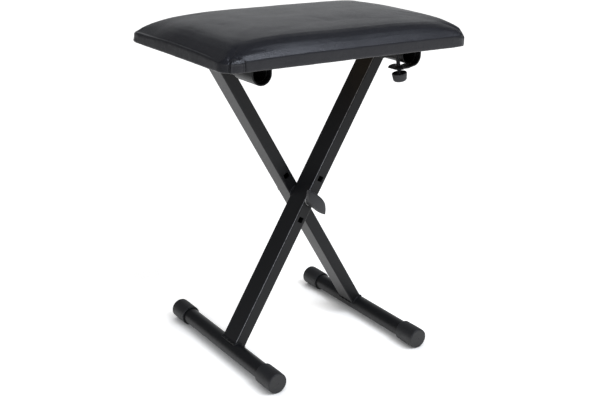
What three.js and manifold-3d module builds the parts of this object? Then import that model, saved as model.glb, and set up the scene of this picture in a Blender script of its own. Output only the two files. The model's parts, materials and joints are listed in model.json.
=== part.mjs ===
// Folding keyboard bench: two rectangular-tube legs crossing at one bolt, each with a round
// foot tube below and a round cross tube under the seat. The left cross tube turns in closed
// straps under the seat board, the right one lies in open hooks that a clamp screw closes.
// Millimetres, +Z up, +X along the seat's long side, origin on the floor under the middle.
import * as THREE from 'three';
import Module from 'manifold-3d';
import { mergeVertices } from 'three/addons/utils/BufferGeometryUtils.js';

// ---------------------------------------------------------------- driving dimensions
const GAP = 0.3;                 // assembly gap between touching pieces
const LEG_SLOPE = 59.43;         // legs above the floor, degrees
const LEG_W = 19.2;              // leg tube, width across the fold plane
const LEG_D = 38.0;              // leg tube, depth along Y
const LEG_WALL = 1.5;
const LEG_CORNER = 2.0;
const LEG_LOWER = 256.0;         // pivot to foot tube axis
const LEG_UPPER = 252.6;         // pivot to cross tube axis
const FRONT_LEG_Y = [-35.8, 2.2];
const REAR_LEG_Y = [4.0, 42.0];
const HOLE_PITCH = 34.5;         // bolt positions for the three seat heights
const HOLE_SQ = 8.6;             // square punched holes
const TUBE_R = 12.7;             // foot and cross tubes, 25.4 mm outside
const TUBE_WALL = 1.5;
const FOOT_LEN = 300.0;          // over both caps
const CAP_R = 15.8;
const CAP_LEN = 37.5;
const CAP_END = 3.2;
const CROSS_HALF = 96.5;         // half length of the cross tubes
const BOLT_R = 3.9;
const BOLT_TIP = 16.0;           // bolt end ahead of the front leg
const SEAT_L = 410.0, SEAT_D = 284.0, SEAT_CORNER = 22.0;
const SEAT_BOTTOM = 469.1;
const SKIRT_TOP = 482.5;
const SEAT_TOP = 512.0;
const BOARD_Z = [470.3, 482.3];
const PLATE_Z = [467.9, 470.0];
const STRAP_T = 2.1;
const BRACKET_Y = [-104.5, -54.0]; // near bracket, mirrored for the far one
const HOOK_Y = [-104.5, -86.0];
const CLAMP_LEAN = 11.0;         // clamp screw lean, degrees
const CLAMP_Y = -100.3;
const CLAMP_X0 = 107.0, CLAMP_Z0 = 437.5;
const CLAMP_R = 2.95;
const KNOB_H = 11.5;
const KNOB_BASE_Z = 418.7;
const CLAMP_TIP_Z = 464.0;

const RAD = Math.PI / 180;
const PHI = LEG_SLOPE * RAD;
const TILT = Math.PI / 2 - PHI;
const PIVOT_Z = CAP_R + LEG_LOWER * Math.sin(PHI);
const FOOT_X = LEG_LOWER * Math.cos(PHI);
const CROSS_X = LEG_UPPER * Math.cos(PHI);
const CROSS_Z = PIVOT_Z + LEG_UPPER * Math.sin(PHI);

// ---------------------------------------------------------------- solids
const wasm = await Module();
wasm.setup();

function toSolid(geometry) {
  let g = geometry.clone();
  for (const key of Object.keys(g.attributes)) if (key !== 'position') g.deleteAttribute(key);
  g = mergeVertices(g, 1e-4);
  return new wasm.Manifold(new wasm.Mesh({
    numProp: 3,
    vertProperties: Float32Array.from(g.attributes.position.array),
    triVerts: Uint32Array.from(g.index.array),
  }));
}
function toGeometry(solid) {
  const m = solid.getMesh();
  const g = new THREE.BufferGeometry();
  g.setAttribute('position', new THREE.BufferAttribute(new Float32Array(m.vertProperties), 3));
  g.setIndex(new THREE.BufferAttribute(new Uint32Array(m.triVerts), 1));
  g.computeVertexNormals();
  return g;
}
const cut = (a, ...tools) => toGeometry(tools.reduce((s, t) => s.subtract(toSolid(t)), toSolid(a)));
const join = (a, ...more) => toGeometry(more.reduce((s, t) => s.add(toSolid(t)), toSolid(a)));

function shapeOf(points) {
  const s = new THREE.Shape();
  points.forEach(([x, y], i) => (i ? s.lineTo(x, y) : s.moveTo(x, y)));
  s.closePath();
  return s;
}
function arc(cx, cy, r, a0, a1, n) {
  const out = [];
  for (let i = 0; i <= n; i++) {
    const a = (a0 + ((a1 - a0) * i) / n) * RAD;
    out.push([cx + r * Math.cos(a), cy + r * Math.sin(a)]);
  }
  return out;
}
function roundRect(w, h, r, n = 3) {
  const x = w / 2 - r, y = h / 2 - r;
  return [...arc(x, -y, r, -90, 0, n), ...arc(x, y, r, 0, 90, n), ...arc(-x, y, r, 90, 180, n), ...arc(-x, -y, r, 180, 270, n)];
}
function prism(points, depth, hole = null) {
  const s = shapeOf(points);
  if (hole) s.holes.push(shapeOf(hole));
  return new THREE.ExtrudeGeometry(s, { depth, bevelEnabled: false });
}
// profile drawn in X,Z and run along Y from y0 to y1
function profileAlongY(points, y0, y1) {
  const g = prism(points, y1 - y0);
  g.rotateX(Math.PI / 2);
  g.translate(0, y1, 0);
  return g;
}
function rodY(r, y0, y1, n = 24, spin = 0) {
  const g = new THREE.CylinderGeometry(r, r, y1 - y0, n);
  if (spin) g.rotateY(spin);
  g.translate(0, (y0 + y1) / 2, 0);
  return g;
}
function rodZ(r, z0, z1, n = 16) {
  const g = new THREE.CylinderGeometry(r, r, z1 - z0, n);
  g.rotateX(Math.PI / 2);
  g.translate(0, 0, (z0 + z1) / 2);
  return g;
}
function lathe(profile, n, start = 0) {
  return new THREE.LatheGeometry(profile.map(([r, y]) => new THREE.Vector2(r, y)), n, start, Math.PI * 2);
}
function box(x0, x1, y0, y1, z0, z1) {
  const g = new THREE.BoxGeometry(x1 - x0, y1 - y0, z1 - z0);
  g.translate((x0 + x1) / 2, (y0 + y1) / 2, (z0 + z1) / 2);
  return g;
}

// ---------------------------------------------------------------- materials and scene
const finish = (color, roughness, metalness) => () => new THREE.MeshStandardMaterial({ color, roughness, metalness });
const paint = finish(0x1c1c1e, 0.38, 0.25);
const rubber = finish(0x323236, 0.72, 0.0);
const zinc = finish(0x9a9a98, 0.4, 0.9);
const plastic = finish(0x3b3b40, 0.55, 0.0);
const vinyl = finish(0x2b2b30, 0.48, 0.0);
const foam = finish(0xc9b46a, 0.95, 0.0);
const wood = finish(0xb08a58, 0.8, 0.0);

const bench = new THREE.Group();
const rearLeg = new THREE.Group();
const frontLeg = new THREE.Group();
const pivot = new THREE.Group();
const seat = new THREE.Group();
bench.add(rearLeg, frontLeg, pivot, seat);

function piece(parent, name, geometry, material) {
  const mesh = new THREE.Mesh(geometry, material());
  mesh.name = name;
  parent.add(mesh);
  return mesh;
}

// ---------------------------------------------------------------- legs and their cross tubes
function legGeometry([y0, y1]) {
  const outer = roundRect(LEG_W, LEG_D, LEG_CORNER);
  const inner = roundRect(LEG_W - 2 * LEG_WALL, LEG_D - 2 * LEG_WALL, 0.8, 2).reverse();
  const tube = prism(outer, LEG_LOWER + LEG_UPPER, inner);
  tube.translate(0, (y0 + y1) / 2, -LEG_LOWER);
  const mid = (y0 + y1) / 2, reach = LEG_D;
  const tools = [-1, 0, 1].map((k) =>
    box(-HOLE_SQ / 2, HOLE_SQ / 2, mid - reach, mid + reach, k * HOLE_PITCH - HOLE_SQ / 2, k * HOLE_PITCH + HOLE_SQ / 2));
  for (const s of [-LEG_LOWER, LEG_UPPER]) {
    const cope = rodY(TUBE_R + GAP, mid - reach, mid + reach, 32);
    cope.translate(0, 0, s);
    tools.push(cope);
  }
  return cut(tube, ...tools);
}
function roundTube(y0, y1, n = 28) {
  const ring = arc(0, 0, TUBE_R, 0, 360 - 360 / n, n - 1);
  const bore = arc(0, 0, TUBE_R - TUBE_WALL, 0, 360 - 360 / n, n - 1).reverse();
  const g = prism(ring, y1 - y0, bore);
  g.rotateX(Math.PI / 2);
  g.translate(0, y1, 0);
  return g;
}
// rubber sleeve cap: closed end at y = 0, mouth at y = CAP_LEN; a flat facet rests on the floor
function capGeometry() {
  const n = 24, k = 1 / Math.cos(Math.PI / n);
  return lathe([
    [0, 0], [14.4 * k, 0], [CAP_R * k, 1.4], [CAP_R * k, CAP_LEN],
    [(TUBE_R + GAP) * k, CAP_LEN], [(TUBE_R + GAP) * k, CAP_END], [0, CAP_END],
  ], n, Math.PI / n);
}
function addLeg(group, side, prefix, yRange, sign) {
  const leg = new THREE.Group();
  leg.position.set(0, 0, PIVOT_Z);
  leg.rotation.y = sign * TILT;
  group.add(leg);
  piece(leg, `${prefix}_leg`, legGeometry(yRange), paint);

  const foot = new THREE.Group();
  foot.position.set(-sign * FOOT_X, 0, CAP_R);
  group.add(foot);
  const end = FOOT_LEN / 2 - CAP_END - GAP;
  piece(foot, `${prefix}_foot_tube`, roundTube(-end, end), paint);
  const near = piece(foot, `${prefix}_foot_cap_near`, capGeometry(), rubber);
  near.position.y = -FOOT_LEN / 2;
  const far = piece(foot, `${prefix}_foot_cap_far`, capGeometry(), rubber);
  far.position.y = FOOT_LEN / 2;
  far.rotation.z = Math.PI;

  const top = piece(group, `${prefix}_top_tube`, roundTube(-CROSS_HALF, CROSS_HALF), paint);
  top.position.set(sign * CROSS_X, 0, CROSS_Z);
}
addLeg(rearLeg, 'right', 'rear', REAR_LEG_Y, -1);
addLeg(frontLeg, 'left', 'front', FRONT_LEG_Y, 1);

// ---------------------------------------------------------------- pivot hardware
const FACE = FRONT_LEG_Y[0];
pivot.position.set(0, 0, PIVOT_Z);
const boltHead = lathe([[0, 0], [9.6, 0], [9.6, 0.7], [8.4, 2.4], [5.6, 3.9], [2.6, 4.5], [0, 4.6]], 24);
boltHead.translate(0, REAR_LEG_Y[1] + GAP, 0);
const boltNeck = box(-4.0, 4.0, REAR_LEG_Y[1] - 3.4, REAR_LEG_Y[1] + GAP + 0.5, -4.0, 4.0);
boltNeck.rotateY(-TILT);
const boltShank = lathe([[0, 0], [BOLT_R - 0.8, 0], [BOLT_R, 0.9], [BOLT_R, 1.0 + REAR_LEG_Y[1] - FACE + BOLT_TIP], [0, 1.0 + REAR_LEG_Y[1] - FACE + BOLT_TIP]], 20);
boltShank.translate(0, FACE - BOLT_TIP, 0);
piece(pivot, 'pivot_bolt', join(boltHead, boltNeck, boltShank), zinc);

function washer(rOut, rIn, y0, y1, n = 24) {
  return lathe([[rIn, y0], [rOut, y0], [rOut, y1], [rIn, y1], [rIn, y0]], n);
}
piece(pivot, 'leg_spacer_washer', washer(12.0, BOLT_R + 0.4, FRONT_LEG_Y[1] + GAP, REAR_LEG_Y[0] - GAP), plastic);
piece(pivot, 'pivot_washer', washer(10.0, BOLT_R + 0.4, FACE - 1.9, FACE - GAP), zinc);

// wing nut: round hub with two thick wings, moulded over a hexagon nut
const WING_ANGLE = -56;
const HUB_R = 10.4, WING_REACH = 22.6, WING_TIP_R = 3.2;
const NUT_BACK = FACE - 2.2;     // back face of the hub
const NUT_FRONT = FACE - 22.0;
function wingOutline() {
  const half = [];
  // from the hub's side round one wing tip and back to the hub
  for (const [x, y] of arc(0, 0, HUB_R, -128, -52, 5)) half.push([x, y]);
  half.push([10.6, -6.6], [15.6, -4.5]);
  for (const [x, y] of arc(WING_REACH - WING_TIP_R, 0, WING_TIP_R, -75, 75, 5)) half.push([x, y]);
  half.push([15.6, 4.5], [10.6, 6.6]);
  const other = [];
  for (const [x, y] of arc(0, 0, HUB_R, 52, 128, 5)) other.push([x, y]);
  other.push([-10.6, 6.6], [-15.6, 4.5]);
  for (const [x, y] of arc(-(WING_REACH - WING_TIP_R), 0, WING_TIP_R, 105, 255, 5)) other.push([x, y]);
  other.push([-15.6, -4.5], [-10.6, -6.6]);
  return [...half, ...other];
}
const wings = new THREE.ExtrudeGeometry(shapeOf(wingOutline()), {
  depth: 11.6, bevelEnabled: true, bevelThickness: 1.6, bevelSize: 1.6, bevelOffset: -1.6, bevelSegments: 2,
});
wings.translate(0, 0, 1.6);      // now 0 to 14.8 along Z
wings.rotateX(Math.PI / 2);      // Z runs to -Y
wings.translate(0, FACE - 7.2, 0);
const hub = rodY(HUB_R - 0.5, FACE - 9.0, NUT_BACK, 24);
const NUT_T = 6.5, HEX = 13.0 / Math.sqrt(3);
const hexPocket = rodY(HEX + GAP, NUT_BACK - NUT_T - 0.6, NUT_BACK + 1, 6);
const bore = rodY(BOLT_R + 0.5, NUT_FRONT + 3.0, NUT_BACK, 20);
const nutBody = cut(join(wings, hub), hexPocket, bore);
nutBody.rotateY(-WING_ANGLE * RAD);
piece(pivot, 'wing_nut', nutBody, plastic);
const insert = cut(rodY(HEX, NUT_BACK - NUT_T, NUT_BACK - GAP, 6), rodY(BOLT_R + GAP, NUT_BACK - NUT_T - 2, NUT_BACK + 2, 20));
insert.rotateY(-WING_ANGLE * RAD);
piece(pivot, 'wing_nut_insert', insert, zinc);

// ---------------------------------------------------------------- seat: board, foam, cover
const RING_N = 5;                // steps round each corner
const SIDE_N = 2;                // steps along each side
function ringPoints(inset, radius) {
  const hx = SEAT_L / 2 - inset, hy = SEAT_D / 2 - inset;
  const r = Math.min(radius, hx, hy);
  const corners = [[hx - r, -(hy - r), -90], [hx - r, hy - r, 0], [-(hx - r), hy - r, 90], [-(hx - r), -(hy - r), 180]];
  const out = [];
  corners.forEach(([cx, cy, a], i) => {
    const pts = arc(cx, cy, r, a, a + 90, RING_N);
    out.push(...pts);
    const [nx, ny, na] = corners[(i + 1) % 4];
    const last = pts[pts.length - 1];
    const next = [nx + r * Math.cos(na * RAD), ny + r * Math.sin(na * RAD)];
    for (let k = 1; k < SIDE_N; k++) out.push([last[0] + ((next[0] - last[0]) * k) / SIDE_N, last[1] + ((next[1] - last[1]) * k) / SIDE_N]);
  });
  return out;
}
// rings: list of [inset, z, corner radius]; closed on itself or by a centre point at either end
function ringSolid(rings, startCentre, endCentre) {
  const pos = [], idx = [];
  const loops = rings.map(([inset, z, r]) => {
    const start = pos.length / 3;
    const pts = ringPoints(inset, r);
    pts.forEach(([x, y]) => pos.push(x, y, z));
    return [start, pts.length];
  });
  const n = loops[0][1];
  const band = (a, b) => {
    for (let i = 0; i < n; i++) {
      const j = (i + 1) % n;
      idx.push(a + i, a + j, b + j, a + i, b + j, b + i);
    }
  };
  for (let k = 0; k + 1 < loops.length; k++) band(loops[k][0], loops[k + 1][0]);
  if (startCentre === null) band(loops[loops.length - 1][0], loops[0][0]);
  else {
    const c = pos.length / 3;
    pos.push(0, 0, startCentre);
    for (let i = 0; i < n; i++) idx.push(c, loops[0][0] + ((i + 1) % n), loops[0][0] + i);
    const e = pos.length / 3, last = loops[loops.length - 1][0];
    pos.push(0, 0, endCentre);
    for (let i = 0; i < n; i++) idx.push(e, last + i, last + ((i + 1) % n));
  }
  const g = new THREE.BufferGeometry();
  g.setAttribute('position', new THREE.BufferAttribute(new Float32Array(pos), 3));
  g.setIndex(idx);
  g.computeVertexNormals();
  return g;
}
const COVER_T = 1.2;
const HEM = 34;
// outer face of the padded top, from the bottom edge to near the middle: [inset, z, corner radius]
const outerFace = [
  [2.6, SEAT_BOTTOM, 20.5], [0.5, SEAT_BOTTOM + 1.0, 21.8], [0, SEAT_BOTTOM + 3.0, 22], [0, SKIRT_TOP, 22], [2.0, SKIRT_TOP + 2.2, 22],
  [12, 490.2, 24], [24, 497.2, 27], [35, 503.2, 31], [43, 506.2, 34], [54, 508.3, 38], [75, 510.2, 44], [105, 511.5, 30],
];
const innerFace = outerFace.slice(3).map(([i, z, r], k) => [k < 2 ? i + COVER_T : i + 0.7, z - (k < 2 ? 0.4 : 1.3), r - 0.8]).reverse();
// cover: hem, outer face, centre, inner face, hem again, as one closed skin
function coverGeometry() {
  const outer = [[HEM, SEAT_BOTTOM, 8], ...outerFace];
  const inner = [...innerFace, [1.2, 470.6, 20.8], [1.8, 470.0, 20.4], [HEM, 470.0, 8]];
  const pos = [], idx = [];
  const addRing = ([inset, z, r]) => {
    const s = pos.length / 3;
    ringPoints(inset, r).forEach(([x, y]) => pos.push(x, y, z));
    return s;
  };
  const n = ringPoints(0, 22).length;
  const band = (a, b) => {
    for (let i = 0; i < n; i++) {
      const j = (i + 1) % n;
      idx.push(a + i, a + j, b + j, a + i, b + j, b + i);
    }
  };
  const o = outer.map(addRing), q = inner.map(addRing);
  for (let k = 0; k + 1 < o.length; k++) band(o[k], o[k + 1]);
  const top = pos.length / 3;
  pos.push(0, 0, SEAT_TOP);
  for (let i = 0; i < n; i++) idx.push(top, o[o.length - 1] + i, o[o.length - 1] + ((i + 1) % n));
  const under = pos.length / 3;
  pos.push(0, 0, SEAT_TOP - 1.3);
  for (let i = 0; i < n; i++) idx.push(under, q[0] + ((i + 1) % n), q[0] + i);
  for (let k = 0; k + 1 < q.length; k++) band(q[k], q[k + 1]);
  band(q[q.length - 1], o[0]);
  const g = new THREE.BufferGeometry();
  g.setAttribute('position', new THREE.BufferAttribute(new Float32Array(pos), 3));
  g.setIndex(idx);
  g.computeVertexNormals();
  return g;
}
piece(seat, 'seat_cover', coverGeometry(), vinyl);

const foamRings = innerFace.slice().reverse().filter((_, k) => k !== 4).map(([i, z, r]) => [i + 0.5, z - 0.6, r]);
foamRings[0] = [2.0, BOARD_Z[1] + GAP, 20];
foamRings[1] = [4.0, 483.6, 20];
piece(seat, 'seat_foam', ringSolid(foamRings, BOARD_Z[1] + GAP, SEAT_TOP - 1.9), foam);

// screws that hold the brackets: [x, y] on the near side, mirrored for the far side
const PIVOT_SCREWS = [[-CROSS_X - 25, -93], [-CROSS_X - 25, -66], [-CROSS_X + 25, -93], [-CROSS_X + 25, -66]];
const HOOK_SCREWS = [[CROSS_X + 27, -95], [CROSS_X + 27, -64]];
const SCREW_R = 1.9, SCREW_CLEAR = 2.25;
const screwHole = (x, y, z0, z1) => {
  const g = rodZ(SCREW_CLEAR, z0, z1, 10);
  g.translate(x, y, 0);
  return g;
};
const bothSides = (list) => [...list, ...list.map(([x, y]) => [x, -y])];
const boardShape = roundRect(SEAT_L - 4.2, SEAT_D - 4.2, SEAT_CORNER - 2, 5);
const boardBlank = prism(boardShape, BOARD_Z[1] - BOARD_Z[0]);
boardBlank.translate(0, 0, BOARD_Z[0]);
piece(seat, 'seat_board', cut(boardBlank, ...bothSides([...PIVOT_SCREWS, ...HOOK_SCREWS]).map(([x, y]) => screwHole(x, y, BOARD_Z[0] - 2, BOARD_Z[0] + 9.5))), wood);

function screwGeometry(x, y, headTop) {
  // pan head below the bracket, shank up into the board
  const g = lathe([[0, headTop - 2.7], [2.6, headTop - 2.6], [4.2, headTop - 1.2], [4.2, headTop], [SCREW_R, headTop], [SCREW_R, BOARD_Z[0] + 7.4], [0, BOARD_Z[0] + 9.2]], 10);
  g.rotateX(Math.PI / 2);
  g.translate(x, y, 0);
  return g;
}

// ---------------------------------------------------------------- brackets under the seat
const FLANGE_Z = [PLATE_Z[0] - GAP - STRAP_T, PLATE_Z[0] - GAP];
const f0 = FLANGE_Z[0] - CROSS_Z, f1 = FLANGE_Z[1] - CROSS_Z;
const SADDLE_RI = 13.5, SADDLE_RO = SADDLE_RI + STRAP_T;
const FLANGE_END = 33.5;
function saddleProfile() {
  return [
    [-FLANGE_END, f0], [-SADDLE_RO - 1.2, f0], [-SADDLE_RO, f0 - 1.2],
    ...arc(0, 0, SADDLE_RO, 180, 360, 16),
    [SADDLE_RO, f0 - 1.2], [SADDLE_RO + 1.2, f0], [FLANGE_END, f0], [FLANGE_END, f1], [SADDLE_RI + 1.6, f1], [SADDLE_RI, f1 - 1.6],
    ...arc(0, 0, SADDLE_RI, 360, 180, 16),
    [-SADDLE_RI, f1 - 1.6], [-SADDLE_RI - 1.6, f1], [-FLANGE_END, f1],
  ];
}
const HOOK_RO = 16.0, HOOK_RI = HOOK_RO - STRAP_T, LIP_END = -30.0;
const LIP_LOW = -17.5, LIP_HIGH = LIP_LOW + STRAP_T;
function hookProfile() {
  return [
    [LIP_END, LIP_LOW], [-13, LIP_LOW], [-4, -16.8], ...arc(0, 0, HOOK_RO, -65, 0, 8), [HOOK_RO, f0 - 1.2], [HOOK_RO + 1.2, f0],
    [FLANGE_END + 4, f0], [FLANGE_END + 4, f1], [HOOK_RI + 1.6, f1], [HOOK_RI, f1 - 1.6],
    ...arc(0, 0, HOOK_RI, 0, -65, 8), [-4.4, -14.7], [-13, LIP_HIGH], [LIP_END, LIP_HIGH],
  ];
}
const LEAN = CLAMP_LEAN * RAD;
const clampX = (z) => CLAMP_X0 + (CLAMP_Z0 - z) * Math.tan(LEAN);
// plan of the wide end of the lip, absolute X,Y on the near side
function lipPlan() {
  const cx = clampX(CROSS_Z + LIP_LOW + STRAP_T / 2);
  return [
    [119, -104.5], ...arc(cx, CLAMP_Y, 8.0, -36, -180, 7), [98.4, -88.5], [101, -84], [106, -79.5], [113, -75.2], [120.5, -73.4],
    [123.6, -75.5], [124, -86.0], [124, -104.5],
  ].reverse();
}
function hookGeometry(side) {
  const strap = profileAlongY(hookProfile(), HOOK_Y[0], HOOK_Y[1]);
  strap.translate(CROSS_X, 0, CROSS_Z);
  const lip = prism(lipPlan(), STRAP_T);
  lip.translate(0, 0, CROSS_Z + LIP_LOW);
  const collar = new THREE.CylinderGeometry(5.0, 6.2, 2.4, 20);
  collar.rotateX(Math.PI / 2);
  collar.translate(clampX(439), CLAMP_Y, CROSS_Z + LIP_HIGH + 0.7);
  const hole = rodZ(CLAMP_R + GAP, -30, 60, 18);
  hole.rotateY(-LEAN);
  hole.translate(clampX(CLAMP_Z0), CLAMP_Y, CLAMP_Z0);
  const screw = screwHole(HOOK_SCREWS[0][0], HOOK_SCREWS[0][1], FLANGE_Z[0] - 3, FLANGE_Z[1] + 3);
  const near = cut(join(strap, lip, collar), hole, screw);
  return side < 0 ? near : mirrored(near);
}
// mirror image across Y = 0, faces turned back outwards
function mirrored(geometry) {
  const g = geometry.clone();
  g.scale(1, -1, 1);
  const index = g.index;
  for (let i = 0; i < index.count; i += 3) {
    const b = index.getX(i + 1);
    index.setX(i + 1, index.getX(i + 2));
    index.setX(i + 2, b);
  }
  g.computeVertexNormals();
  return g;
}

for (const [side, word] of [[-1, 'near'], [1, 'far']]) {
  const ys = side < 0 ? BRACKET_Y : [-BRACKET_Y[1], -BRACKET_Y[0]];
  const flip = ([x, y]) => [x, -side * y];
  const pivotScrews = PIVOT_SCREWS.map(flip), hookScrews = HOOK_SCREWS.map(flip);

  const pivotPlate = box(-CROSS_X - FLANGE_END, -CROSS_X + FLANGE_END, ys[0], ys[1], ...PLATE_Z);
  piece(seat, `${word}_pivot_plate`, cut(pivotPlate, ...pivotScrews.map(([x, y]) => screwHole(x, y, PLATE_Z[0] - 2, PLATE_Z[1] + 2))), paint);
  const saddle = profileAlongY(saddleProfile(), ys[0], ys[1]);
  saddle.translate(-CROSS_X, 0, CROSS_Z);
  piece(seat, `${word}_pivot_strap`, cut(saddle, ...pivotScrews.map(([x, y]) => screwHole(x, y, FLANGE_Z[0] - 2, FLANGE_Z[1] + 2))), paint);
  pivotScrews.forEach(([x, y], i) => piece(seat, `${word}_pivot_screw_${i + 1}`, screwGeometry(x, y, FLANGE_Z[0] - GAP), zinc));

  const hookPlate = box(CROSS_X - 17, CROSS_X + FLANGE_END + 4, ys[0], ys[1], ...PLATE_Z);
  piece(seat, `${word}_hook_plate`, cut(hookPlate, ...hookScrews.map(([x, y]) => screwHole(x, y, PLATE_Z[0] - 2, PLATE_Z[1] + 2))), paint);
  piece(seat, `${word}_hook_strap`, hookGeometry(side), paint);
  piece(seat, `${word}_hook_screw_1`, screwGeometry(...hookScrews[0], FLANGE_Z[0] - GAP), zinc);
  piece(seat, `${word}_hook_screw_2`, screwGeometry(...hookScrews[1], PLATE_Z[0] - GAP), zinc);

  // clamp screw with its hand knob, leaning towards the middle of the seat at the top
  const clamp = new THREE.Group();
  clamp.position.set(clampX(KNOB_BASE_Z), -side * CLAMP_Y, KNOB_BASE_Z);
  clamp.rotation.y = -LEAN;
  seat.add(clamp);
  const rodTop = (CLAMP_TIP_Z - KNOB_BASE_Z) / Math.cos(LEAN);
  const rod = lathe([[0, 3.3], [CLAMP_R, 3.3], [CLAMP_R, rodTop - 1.0], [CLAMP_R - 0.9, rodTop], [0, rodTop]], 16);
  rod.rotateX(Math.PI / 2);
  piece(clamp, `${word}_clamp_screw`, rod, zinc);
  const knob = lathe([
    [0, 0], [7.4, 0], [9.1, 2.0], [10.2, 10.2], [9.6, KNOB_H], [8.9, KNOB_H], [8.5, 6.6], [5.2, 6.2],
    [5.2, 8.4], [CLAMP_R + GAP, 8.4], [CLAMP_R + GAP, 3.0], [0, 3.0],
  ], 18);
  knob.rotateX(Math.PI / 2);
  piece(clamp, `${word}_clamp_knob`, knob, plastic);
}

export default bench;
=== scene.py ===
import bpy, bmesh, json, math
import numpy as np
from mathutils import Matrix, Vector, noise


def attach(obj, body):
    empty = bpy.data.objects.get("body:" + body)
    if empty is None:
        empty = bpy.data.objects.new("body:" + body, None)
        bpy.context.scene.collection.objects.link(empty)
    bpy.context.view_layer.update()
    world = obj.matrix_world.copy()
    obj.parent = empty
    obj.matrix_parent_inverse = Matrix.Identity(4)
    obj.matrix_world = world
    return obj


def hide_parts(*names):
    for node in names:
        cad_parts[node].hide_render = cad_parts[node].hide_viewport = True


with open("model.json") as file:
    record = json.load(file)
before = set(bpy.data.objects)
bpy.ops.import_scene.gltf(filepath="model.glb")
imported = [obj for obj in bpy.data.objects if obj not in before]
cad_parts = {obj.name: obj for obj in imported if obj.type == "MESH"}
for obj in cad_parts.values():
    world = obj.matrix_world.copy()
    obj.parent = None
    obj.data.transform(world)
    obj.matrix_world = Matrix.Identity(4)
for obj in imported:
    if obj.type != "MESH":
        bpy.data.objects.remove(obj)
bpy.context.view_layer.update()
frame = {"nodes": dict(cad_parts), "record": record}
MM = 0.001
RAD = math.pi / 180

# ------------------------------------------------------------ sizes of the CAD model, in millimetres
LEG_SLOPE, LEG_W, LEG_D, LEG_WALL, LEG_CORNER = 59.43, 19.2, 38.0, 1.5, 2.0
LEG_LOWER, LEG_UPPER = 256.0, 252.6
FRONT_LEG_Y, REAR_LEG_Y = (-35.8, 2.2), (4.0, 42.0)
HOLE_PITCH, HOLE_SQ = 34.5, 8.6
TUBE_R, TUBE_WALL, CAP_R, CAP_LEN, CAP_END, FOOT_LEN, CROSS_HALF = 12.7, 1.5, 15.8, 37.5, 3.2, 300.0, 96.5
PHI = LEG_SLOPE * RAD
TILT = math.pi / 2 - PHI
PIVOT_Z = CAP_R + LEG_LOWER * math.sin(PHI)
FOOT_X, CROSS_X = LEG_LOWER * math.cos(PHI), LEG_UPPER * math.cos(PHI)
CROSS_Z = PIVOT_Z + LEG_UPPER * math.sin(PHI)
SEAT_L, SEAT_D, SEAT_CORNER = 410.0, 284.0, 22.0
SEAT_BOTTOM, SKIRT_TOP, SEAT_TOP, HEM = 469.1, 482.5, 512.0, 34.0
BOARD_TOP = 482.3
GAP, STRAP_T = 0.3, 2.1
PLATE_Z = (467.9, 470.0)
BRACKET_Y = (-104.5, -54.0)
FLANGE_TOP = PLATE_Z[0] - GAP
FLANGE_LOW = FLANGE_TOP - STRAP_T
CLAMP_LEAN, CLAMP_Y = 11.0 * RAD, -100.3
CLAMP_R, KNOB_H, KNOB_BASE_Z, CLAMP_TIP_Z = 2.95, 11.5, 418.7, 464.0


def clamp_x(z):
    return 107.0 + (437.5 - z) * math.tan(CLAMP_LEAN)


# ------------------------------------------------------------ camera, at the photograph's view
def make_camera():
    az, el, roll = 34.063 * RAD, 19.105 * RAD, 0.773 * RAD
    fwd = Vector((math.sin(az) * math.cos(el), math.cos(az) * math.cos(el), -math.sin(el)))
    right = fwd.cross(Vector((0, 0, 1))).normalized()
    up = right.cross(fwd)
    r2 = math.cos(roll) * right + math.sin(roll) * up
    u2 = -math.sin(roll) * right + math.cos(roll) * up
    cam = bpy.data.cameras.new("camera")
    cam.sensor_fit, cam.sensor_width, cam.lens = "HORIZONTAL", 36.0, 986.205 / 600 * 36
    cam.clip_start, cam.clip_end = 0.05, 60
    obj = bpy.data.objects.new("camera", cam)
    bpy.context.scene.collection.objects.link(obj)
    m = Matrix((r2, u2, -fwd)).transposed().to_4x4()
    m.translation = Vector((-0.80192, -1.19352, 0.72302))
    obj.matrix_world = m
    bpy.context.scene.camera = obj


make_camera()


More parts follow.
